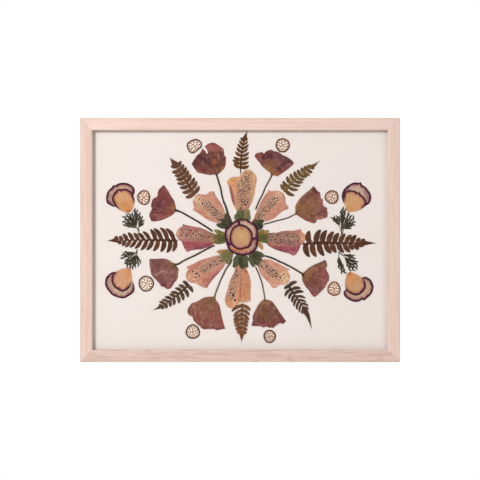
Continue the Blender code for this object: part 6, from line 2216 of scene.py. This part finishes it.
CORNER_PAIRS = {
    "nw": (
        BroadPetal(
            outline=[(-176.6, 49.3), (-177.6, 54.6), (-176.8, 61.2), (-174.4, 65.9), (-170.5, 69.5),
                     (-167.8, 72.8), (-165.2, 72.5), (-161.8, 74.8), (-157.2, 75.8), (-151.2, 75.7),
                     (-146.5, 74.2), (-142.5, 71.5), (-140, 67.9), (-139.9, 62.6), (-144, 55), (-152, 48),
                     (-158, 45), (-164.5, 44.1), (-169.8, 44.7), (-174.5, 47.4)],
            base_at=(-150, 45), colour=(206, 178, 152),
            strokes=[(-172, 50, -170, 58, 6, (170, 138, 138), 0.7)], lift=0.0,
        ),
        BroadPetal(
            outline=[(-161.8, 67.6), (-157.2, 67.5), (-151.8, 68.2), (-146.5, 65.9), (-143.2, 62.6),
                     (-140.9, 57.3), (-139.9, 52), (-140.5, 48), (-141.9, 43.4), (-143.9, 39.4),
                     (-146.5, 36.7), (-149.8, 36.8), (-153.8, 37.4), (-157.2, 38.7), (-160.5, 40.4),
                     (-164.5, 44), (-167.8, 48.7), (-169.7, 53.3), (-169.2, 57.9), (-167.1, 62.6),
                     (-164.2, 65.6)],
            base_at=(-147, 39), colour=(222, 166, 118),
            strokes=[(-147, 39, -152, 46, 8, (222, 148, 84), 0.85),
                     (-149, 38, -147, 38, 2.6, (178, 92, 44), 0.7),
                     (-152, 56, -158, 60, 8, (226, 176, 132), 0.8)],
            lift=0.5,
        ),
    ),
    "ne": (
        BroadPetal(
            outline=[(138.1, 48.3), (135.8, 53.3), (134.9, 58.6), (136.1, 63.9), (139.4, 69.2),
                     (144.7, 73.2), (149.4, 75.7), (153.4, 76.5), (157.4, 75.8), (160.4, 76.8),
                     (161.7, 73.5), (166.7, 70.2), (170.3, 65.9), (173, 61.3), (174, 56.6), (173, 51.3),
                     (170.3, 47.4), (166, 45.4), (160, 43), (150, 44), (143, 46)],
            base_at=(152, 44), colour=(212, 184, 164),
            strokes=[(138, 54, 142, 66, 5, (136, 66, 92), 0.75),
                     (150, 72, 164, 69, 4, (206, 174, 152), 0.6),
                     (169, 56, 166, 64, 4, (150, 92, 108), 0.6)],
            lift=0.0, blush_from=0.2, blush_to=0.5, strength=1.0,
        ),
        BroadPetal(
            outline=[(138.7, 62.6), (141.4, 64.9), (146.7, 66.2), (152, 65.2), (156.7, 62.9), (158.7, 63.3),
                     (160, 60.6), (164, 57.3), (167, 52.6), (167.6, 48.7), (165.3, 44.7), (162, 42.1),
                     (157.4, 39.7), (152, 38.1), (146.7, 37.4), (144.1, 36.9), (142.1, 38.7), (140.1, 44),
                     (138.7, 48), (137.5, 55)],
            base_at=(145.5, 39), colour=(220, 168, 120),
            strokes=[(147, 40, 150, 46, 8, (226, 168, 106), 0.7),
                     (150, 52, 156, 56, 8, (222, 178, 132), 0.8)],
            lift=0.5, blush_from=0.45, blush_to=0.8, strength=0.85,
        ),
    ),
    "se": (
        BroadPetal(
            outline=[(138.1, -67.8), (137.4, -71.5), (139.4, -75.5), (144.1, -79.1), (149.4, -81.4),
                     (154, -82.2), (158.7, -81.1), (162, -79.1), (164.3, -80.4), (168, -77.4), (172, -74.1),
                     (175.3, -69.5), (177, -63.5), (176.3, -58.2), (174, -53.6), (170.7, -50.6),
                     (166, -48.6), (162, -50), (154, -55), (144, -62)],
            base_at=(149, -56), colour=(208, 176, 150),
            strokes=[(144, -74, 156, -78, 4, (206, 170, 146), 0.6)], lift=0.0,
        ),
        BroadPetal(
            outline=[(144.8, -42.3), (148.1, -43), (153.4, -45), (158.7, -47.9), (162.7, -50.9),
                     (165.7, -54.9), (166.8, -59.6), (166, -64.2), (163.7, -68.2), (160, -71.2),
                     (155.4, -73.5), (150, -72.8), (145.4, -70.8), (141.4, -67.2), (139.4, -61.5),
                     (139.4, -56.2), (140.4, -50.2), (142.1, -45.6)],
            base_at=(145, -45), colour=(214, 162, 118),
            strokes=[(145, -45, 148, -52, 8, (228, 158, 96), 0.85),
                     (144, -46, 146, -44, 2.6, (176, 96, 48), 0.7),
                     (154, -60, 156, -64, 8, (214, 170, 134), 0.8)],
            lift=0.5, blush_from=0.5, blush_to=0.85,
        ),
    ),
    "sw": (
        BroadPetal(
            outline=[(-174.8, -46.2), (-177.8, -50.2), (-178.9, -54.8), (-178.8, -60.1), (-176.5, -64.8),
                     (-173.1, -69.4), (-169.1, -73.4), (-163.8, -75.7), (-158.5, -77.1), (-154.5, -77.4),
                     (-149.9, -75.7), (-145.2, -72.7), (-141.2, -69.4), (-139.9, -65.4), (-140.5, -60.1),
                     (-142.5, -54.8), (-150, -48), (-158, -44), (-165.8, -42.2), (-169.8, -42.9)],
            base_at=(-151, -50), colour=(208, 184, 156),
            strokes=[(-172, -50, -172, -62, 5, (192, 164, 146), 0.7),
                     (-160, -73, -146, -70, 4, (204, 176, 150), 0.6)],
            lift=0.0,
        ),
        BroadPetal(
            outline=[(-145.8, -36.9), (-151.2, -37.5), (-156.5, -38.2), (-161.1, -40.2), (-165.1, -42.9),
                     (-169.1, -46.2), (-170.5, -50.2), (-170.5, -54.8), (-168.8, -59.5), (-165.8, -63.5),
                     (-161.8, -65.8), (-159.1, -67.8), (-155.8, -68.4), (-151.9, -67.4), (-147.9, -64.4),
                     (-145.2, -60.1), (-143.9, -54.8), (-143.6, -48.9), (-144.2, -42.9), (-145.2, -38.9)],
            base_at=(-147, -40), colour=(224, 168, 130),
            strokes=[(-147, -41, -150, -48, 7, (230, 162, 108), 0.85),
                     (-146.6, -38.6, -147, -40, 2.4, (190, 110, 62), 0.6),
                     (-156, -54, -158, -58, 8, (222, 174, 138), 0.8)],
            lift=0.5, blush_from=0.45, blush_to=0.8,
        ),
    ),
}
ROSETTE = {
    "right": BroadPetal(
        outline=[(-4, 24.5), (-2.5, 27.4), (4.8, 28.1), (10.1, 27.1), (14.7, 24.1), (20.7, 19.5),
                 (23.3, 14.1), (24, 8.8), (22.9, 4), (20, -1), (13, -3), (4, -1), (-4, 6), (-7, 15)],
        base_at=(6, 4), colour=(214, 184, 160), strokes=[(8, 23, 18, 15, 4, (222, 196, 172), 0.8)],
        lift=0.94, blush_from=0.25, blush_to=0.5, strength=1.0,
    ),
    "bottom": BroadPetal(
        outline=[(22.9, 3.4), (23.7, -1.1), (23.3, -7.1), (21.3, -12.4), (16.7, -16.4), (11.4, -19.4),
                 (5.5, -20.4), (4.1, -21.7), (0.8, -20.4), (-4.5, -19.4), (-10.5, -16.7), (-15.1, -12.4),
                 (-17.4, -7.5), (-17, -2), (-3, 3.5), (13, 1.5)],
        base_at=(3, 0), colour=(200, 164, 144),
        strokes=[(-10, -12, 9, -13.6, 3.4, (226, 152, 84), 0.95),
                 (-8, -14, 6, -15.4, 1.4, (188, 104, 50), 0.6)],
        lift=1.24, blush_from=0.25, blush_to=0.5, strength=1.0,
    ),
    "left": BroadPetal(
        outline=[(-18.1, -2.4), (-19.8, 4.2), (-20.5, 10.2), (-18.5, 14.8), (-13.1, 20.1), (-8.5, 24.8),
                 (-4.5, 26.1), (-2.3, 27.4), (0.5, 20), (-4, 3), (-12.5, -7.5), (-16, -5.6)],
        base_at=(-3, 8), colour=(200, 164, 148), strokes=[(-15, 11, -9, 19, 4, (218, 190, 168), 0.8)],
        lift=1.62, blush_from=0.25, blush_to=0.5, strength=1.0,
    ),
    "middle": BroadPetal(
        outline=[(-0.4, 21), (6, 19.8), (11.7, 16.2), (15.8, 10.8), (16.8, 5), (16.5, -0.7), (15, -5.6),
                 (11.7, -10), (7.2, -11.4), (3.2, -12.6), (-1, -13.1), (-6.3, -11.3), (-10.7, -7.5),
                 (-13.5, -1.8), (-14, 4.2), (-12.6, 10.6), (-10, 16), (-5.4, 19.6)],
        base_at=(1.4, 3.6), colour=(212, 168, 122),
        strokes=[(2, 18, 2.4, 14, 2.4, (176, 104, 56), 0.7), (-8, -5, 4, -8, 4.5, (206, 150, 130), 0.6),
                 (2, 6, 4, 8, 7, (222, 180, 132), 0.7)],
        lift=2.02, blush_from=-1.0, blush_to=-0.5, strength=0.95, veins=VeinFan.UPRIGHT, cup=0.16,
    ),
}


@dataclass
class BroadPetals:
    """Twelve broad petals with plum rims: four pairs in the corners and the rosette in the middle."""

    spokes: int = 132
    rings: int = 30
    ring_power: float = 0.85
    fray: float = 0.12
    thickness: float = 0.14
    level: float = 0.3
    lowest: float = 0.16
    fold: float = 0.07
    folds_around: int = 9
    wrinkles: Waves = ((0.05, 6), (0.02, 2))
    upright_span: float = 26.0
    finish: PlantFinish = PlantFinish("stained petal", vein_count=54, vein_stretch=0.9, vein_darkness=0.32,
                                      mottle=0.1, grit=0.08, rim=True, wither=False)

    def petal(self, petal: BroadPetal, seed: int) -> Skin:
        """Builds one petal over rings of places round a point near its base.

        The rings are the outline drawn together towards that point. The height is a shallow cup that rises
        to the rim, plus folds that leave the base and small wrinkles.

        Args:
            petal: The petal.
            seed: Choice of its jags and wrinkles.

        Returns:
            Its skin.
        """
        rim = evenly(rounded(petal.outline, closed=True), self.spokes + 1)
        rim = frayed(rim, self.fray, seed)[:-1]
        inner = np.array(petal.base_at)
        share = np.linspace(0, 1, self.rings)[:, None, None] ** self.ring_power
        places = inner + (rim - inner)[None] * share
        edge = distance_to(places, np.concatenate((rim, rim[:1])))
        away = np.linalg.norm(places - inner, axis=-1) / float(np.linalg.norm(rim - inner, axis=1).max())
        turn = np.arctan2(*(places - inner + 1e-6).transpose(2, 0, 1))
        folds = self.fold * np.sin(self.folds_around * turn + 2 * Ripple(seed, 18).at(places))
        folds = folds * smooth(away, 0.15, 0.6) + wrinkled(places, seed, self.wrinkles)
        cup = petal.cup * (1 - smooth(edge, 0, 5)) * (0.8 + 0.4 * Ripple(seed + 4, 12).at(places))
        heights = np.maximum(self.level + petal.lift + folds + cup, self.lowest)
        paint = {
            "tint": painted(places, petal.colour, petal.strokes),
            "uv": self.vein_uv(petal, places, away),
            "edge": edge,
            "blush": smooth(away, petal.blush_from, petal.blush_to) * petal.strength,
        }
        skin = Skin()
        add_fan(skin, places, heights, np.full(heights.shape, self.thickness), paint)
        return skin

    def vein_uv(self, petal: BroadPetal, places: np.ndarray, away: np.ndarray) -> np.ndarray:
        """UV whose second axis runs along the veins: up the picture, or from the petal's base outwards.

        Args:
            petal: The petal.
            places: Rings and spokes of its picture places.
            away: Share of the way from its base at each of them.

        Returns:
            Two values a place.
        """
        if petal.veins is VeinFan.UPRIGHT:
            return places / self.upright_span + 0.5
        ahead = np.mean(np.array(petal.outline), axis=0) - np.array(petal.base_at)
        ahead /= max(np.linalg.norm(ahead), 1e-6)
        flat = (places - np.array(petal.base_at)) @ np.array(((ahead[0], -ahead[1]), (ahead[1], ahead[0])))
        return np.stack((np.arctan2(flat[..., 1], flat[..., 0] + 4.0) / np.pi + 0.5, away), axis=-1)

    def build(self) -> None:
        """Builds every petal in the place of its solid."""
        material = self.finish.made()
        for number, (where, pair) in enumerate(CORNER_PAIRS.items()):
            for layer, petal in zip(("back", "front"), pair):
                skin = self.petal(petal, 700 + 20 * number + (9 if layer == "front" else 0))
                place_piece(f"corner_{layer}_sheet_{where}", skin, material,
                            (f"corner_petal_{layer}_{where}",))
        for number, (where, petal) in enumerate(ROSETTE.items()):
            skin = self.petal(petal, 900 + 13 * number)
            place_piece(f"rosette_sheet_{where}", skin, material, (f"centre_petal_{where}",))


# The frame and what is behind it


@dataclass
class FrameDressing:
    """Finishes of the frame's own solids, the small fasteners on its back, and the glue in its mitres."""

    point_length: float = 12.0
    point_width: float = 6.5
    point_thickness: float = 0.5
    point_bite: float = 0.2
    points_along: tuple[float, ...] = (-150, -50, 50, 150)
    points_up: tuple[float, ...] = (-90, 0, 90)
    hanger_gap: float = 0.3
    hanger_thickness: float = 0.8
    nail_inset: float = 4.5
    nail_sides: int = 28
    nail_profile: Chain = ((0.75, -1.0), (0.75, 0.02), (1.7, 0.02), (1.666, 0.2), (1.19, 0.615),
                           (0.595, 0.75))
    nail_crown: float = 0.04
    glue_half: float = 0.13
    glue_profile: Chain = ((0.7, 0.12), (15.2, 0.12), (15.85, 0.8), (15.85, 3.85), (10.85, 3.85),
                           (10.85, 19.85), (0.15, 19.85), (0.15, 0.7))
    # Each rail: node, grain upright, shade factor (painted shade as lit from above: top rail brightest,
    # bottom rail darkest), grain offset and grain waves.
    rails: tuple[tuple[str, bool, float, float, float], ...] = (
        ("rail_top", False, 1.0, 0.0, 0.1), ("rail_bottom", False, 0.89, 0.7, 0.5),
        ("rail_left", True, 0.95, 1.3, 0.2), ("rail_right", True, 0.985, 2.1, 0.15),
    )
    mount: BoardFinish = BoardFinish("mount board", (245, 236, 235), (237, 227, 225), 0.35,
                                     (242, 232, 229), 0.5, scale=1500.0, roughness=0.88, relief=0.00002)
    hardboard: BoardFinish = BoardFinish("hardboard", (158, 122, 88), (104, 74, 50), 0.75,
                                         (172, 136, 98), 0.6, scale=1100.0, roughness=0.72, relief=0.00005)

    @staticmethod
    def dress(node: str, material: bpy.types.Material) -> None:
        """Puts a material in every slot of a CAD node.

        Args:
            node: Name of the node.
            material: The material.
        """
        mesh = frame["nodes"][node].data
        mesh.materials.clear()
        mesh.materials.append(material)
        LOG.info("%s: dressed with %s", node, material.name)

    def points(self) -> Skin:
        """Builds the framer's points: thin rounded tongues, from the rebate's wall over the backing board."""
        low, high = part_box("backing_board")
        back = high.y / MM
        middle_z = (low.z + high.z) / 2 / MM
        half_x, half_z = (high.x - low.x) / 2 / MM, (high.z - low.z) / 2 / MM
        spots = [(x, side * half_z, 0, -side) for side in (1, -1) for x in self.points_along]
        spots += [(side * half_x, z, -side, 0) for side in (1, -1) for z in self.points_up]
        share, columns = np.linspace(0, 1, 15), np.linspace(-1, 1, 7)
        nose = np.clip(share - 0.62, 0, 1) / 0.4
        half = self.point_width / 2 * np.sqrt(np.clip(1 - nose**2, 0.02, 1))
        lift = np.repeat(0.05 + 0.35 * share[:, None] ** 2, len(columns), axis=1)
        skin = Skin()
        for x, z, inward_x, inward_z in spots:
            inward = np.array((inward_x, inward_z), float)
            across = np.array((-inward[1], inward[0]))
            start = np.array((x, z), float) - inward * self.point_bite
            line = start + inward * (share * self.point_length)[:, None]
            places = line[:, None] + across * (columns[None, :, None] * half[:, None, None])
            self.add_plate(skin, places, back + lift, middle_z)
        return skin

    def add_plate(self, skin: Skin, places: np.ndarray, near: np.ndarray, middle_z: float) -> None:
        """Adds a thin plate behind the backing board, seen from the back.

        Args:
            skin: Skin that gets the shell.
            places: Rows and columns of picture places.
            near: Row frame y of its face towards the board.
            middle_z: Row frame z of the picture's middle.
        """
        if area_of(border_of(places)) > 0:
            places, near = places[:, ::-1], near[:, ::-1]
        rows, columns = near.shape
        layers = [np.stack((places[..., 0], depth, places[..., 1] + middle_z), -1).reshape(-1, 3)
                  for depth in (near + self.point_thickness, near)]
        grid = np.stack(np.meshgrid(np.linspace(0, 1, columns), np.linspace(0, 1, rows)), -1)
        uv = np.tile(grid.reshape(-1, 2), (2, 1))
        skin.add(np.concatenate(layers), sheet_faces(rows, columns, soft=False), {"uv": uv})

    def nails(self) -> Skin:
        """Builds the two nails of the hanger: domed heads, a profile carried once round each shank."""
        low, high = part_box("hanger")
        foot_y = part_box("backing_board")[1].y / MM + self.hanger_gap + self.hanger_thickness
        middle_z = (low.z + high.z) / 2 / MM
        turn = 2 * np.pi * np.arange(self.nail_sides) / self.nail_sides
        radius, rise = np.array(self.nail_profile).T
        wall, first, last = (faces[:, ::-1] for faces in tube_faces(len(rise), self.nail_sides))
        skin = Skin()
        for x in (low.x / MM + self.nail_inset, high.x / MM - self.nail_inset):
            ring = np.stack((x + radius[:, None] * np.cos(turn), foot_y + rise[:, None] + 0 * turn,
                             middle_z + radius[:, None] * np.sin(turn)), axis=-1)
            ends = ((x, foot_y + rise[0], middle_z), (x, foot_y + rise[-1] + self.nail_crown, middle_z))
            points = np.concatenate((ring.reshape(-1, 3), ends))
            uv = points[:, (0, 2)] / 4
            skin.add(points, [(wall, True), (first, False), (last, True)], {"uv": uv})
        return skin

    def glue(self) -> Skin:
        """Builds the dried glue in the mitres: the rails' profile, a little smaller, on each diagonal."""
        skin = Skin()
        inward, depth = np.array(self.glue_profile).T
        front, outer_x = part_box("rail_top")[0].y / MM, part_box("rail_right")[1].x / MM
        edges = ((1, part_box("rail_top")[1].z / MM), (-1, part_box("rail_bottom")[0].z / MM))
        index = np.arange(len(inward))
        ahead = np.roll(index, -1)
        walls = np.stack((index, ahead, ahead + len(index), index + len(index)), axis=-1)
        for side_x, (side_z, edge_z) in ((side, edge) for side in (-1, 1) for edge in edges):
            across = np.array((side_z, 0, -side_x)) * self.glue_half / math.sqrt(2)
            middle = np.stack((side_x * (outer_x - inward), front + depth, edge_z - side_z * inward), axis=-1)
            points = np.concatenate((middle - across, middle + across))
            caps = [(index[None, ::-1], False), (index[None] + len(index), False)]
            skin.add(points, [(walls, False), *caps], {"uv": points[:, (0, 2)] / 20})
        return skin

    def build(self) -> None:
        """Dresses the frame's solids, and adds the fasteners and the glue."""
        for node, upright, shade, offset, waves in self.rails:
            self.dress(node, MapleFinish(f"maple {node}", upright, shade, offset, waves).made())
        self.dress("glass", GlassFinish().made())
        self.dress("mount_board", self.mount.made())
        self.dress("backing_board", self.hardboard.made())
        steel = SteelFinish("zinc steel").made()
        self.dress("hanger", steel)
        dull = SteelFinish("point steel", (142, 140, 136)).made()
        glue = MapleFinish("glue and dust", False, 0.9, 0.3, 0.0).made()
        place_piece("framer_points", self.points(), dull)
        place_piece("hanger_nails", self.nails(), steel)
        place_piece("mitre_glue", self.glue(), glue)


# Camera, floor and light


@dataclass
class Studio:
    """Camera square to the picture, pale floor below the hanging frame, and soft light from upper left."""

    distance: float = 1.6
    view_width: float = 0.6334
    sensor: float = 36.0
    floor_corners: Chain = ((-0.6, -0.8), (0.6, -0.8), (0.6, 0.08), (-0.6, 0.08))
    floor_drop: float = 0.23
    warm_white: tuple[float, ...] = (1.0, 0.97, 0.95, 1)
    ambient: float = 0.4
    mirrored: float = 0.06
    lamps: tuple[tuple, ...] = (
        ("key", (-1.0, -1.75, 0.72), 0.42, 28.5, (255, 252, 250)),
        ("fill", (1.1, -1.7, 0.1), 1.2, 5.0, (255, 246, 240)),
        ("back", (0.7, 1.6, 0.6), 1.0, 16.0, (255, 252, 248)),
    )

    def camera(self) -> None:
        """Sets the camera on the line through the middle of the picture."""
        data = bpy.data.cameras.new("camera")
        data.sensor_width = self.sensor
        data.lens = self.sensor * self.distance / self.view_width
        camera = bpy.data.objects.new("camera", data)
        camera.location = (0, CAD_BOX[0].y - self.distance, MIDDLE_Z * MM)
        camera.rotation_euler = (math.pi / 2, 0, 0)
        bpy.context.scene.collection.objects.link(camera)
        bpy.context.scene.camera = camera

    def floor(self) -> None:
        """Lays a pale floor under the frame, below the camera's view of it."""
        level = CAD_BOX[0].z - self.floor_drop
        mesh = bpy.data.meshes.new("floor")
        mesh.from_pydata([(*corner, level) for corner in self.floor_corners], [], [(0, 1, 2, 3)])
        mesh.materials.append(FloorFinish().made())
        floor = bpy.data.objects.new("floor", mesh)
        bpy.context.scene.collection.objects.link(floor)

    @staticmethod
    def lamp(name: str, place: tuple[float, float, float], size: float, power: float, colour: Colour) -> None:
        """Adds a square area lamp that faces the middle of the picture.

        Args:
            name: Name of the lamp.
            place: Where it stands from the middle of the picture, in metres.
            size: Width of the lamp, in metres.
            power: Its power, in watts.
            colour: Its colour.
        """
        data = bpy.data.lights.new(name, "AREA")
        data.size = size
        data.energy = power
        data.color = rgba(colour)[:3]
        lamp = bpy.data.objects.new(name, data)
        lamp.location = np.array((0, BOARD_FACE * MM, MIDDLE_Z * MM)) + np.array(place)
        away = np.array(place) / np.linalg.norm(place)
        lamp.rotation_euler = (math.acos(away[2]), 0, math.atan2(away[1], away[0]) + math.pi / 2)
        bpy.context.scene.collection.objects.link(lamp)

    def world(self) -> None:
        """White where the camera sees it, dimmer for what it lights, and nearly dark in mirrored rays."""
        world = bpy.data.worlds.new("studio")
        world.use_nodes = True
        world.node_tree.nodes.clear()
        desk = NodeDesk(world.node_tree)
        seen, lit, mirrored = (
            desk.add("Background", {"Color": colour, "Strength": strength}).outputs[0]
            for colour, strength in (((1, 1, 1, 1), 1.0), (self.warm_white, self.ambient),
                                     (self.warm_white, self.mirrored)))
        path = desk.add("LightPath").outputs
        dim = desk.add("MixShader", {0: path["Is Glossy Ray"], 1: lit, 2: mirrored}).outputs[0]
        both = desk.add("MixShader", {0: path["Is Camera Ray"], 1: dim, 2: seen}).outputs[0]
        desk.add("OutputWorld", {"Surface": both})
        bpy.context.scene.world = world

    def build(self) -> None:
        """Sets up the studio."""
        self.camera()
        self.floor()
        self.world()
        for lamp in self.lamps:
            self.lamp(*lamp)
        view = bpy.context.scene.view_settings
        view.view_transform = "Standard"
        view.look = "None"


def main() -> None:
    """Builds every part in order."""
    logging.basicConfig(level=logging.INFO, format="%(message)s")
    parts = (Studio(), FrameDressing(), Ferns(), Sprigs(), Foxgloves(), Poppies(), SeedSlices(),
             BroadPetals())
    for part in parts:
        part.build()
        LOG.info("%s done", type(part).__name__)
    bpy.context.view_layer.update()


if __name__ == "__main__":
    main()
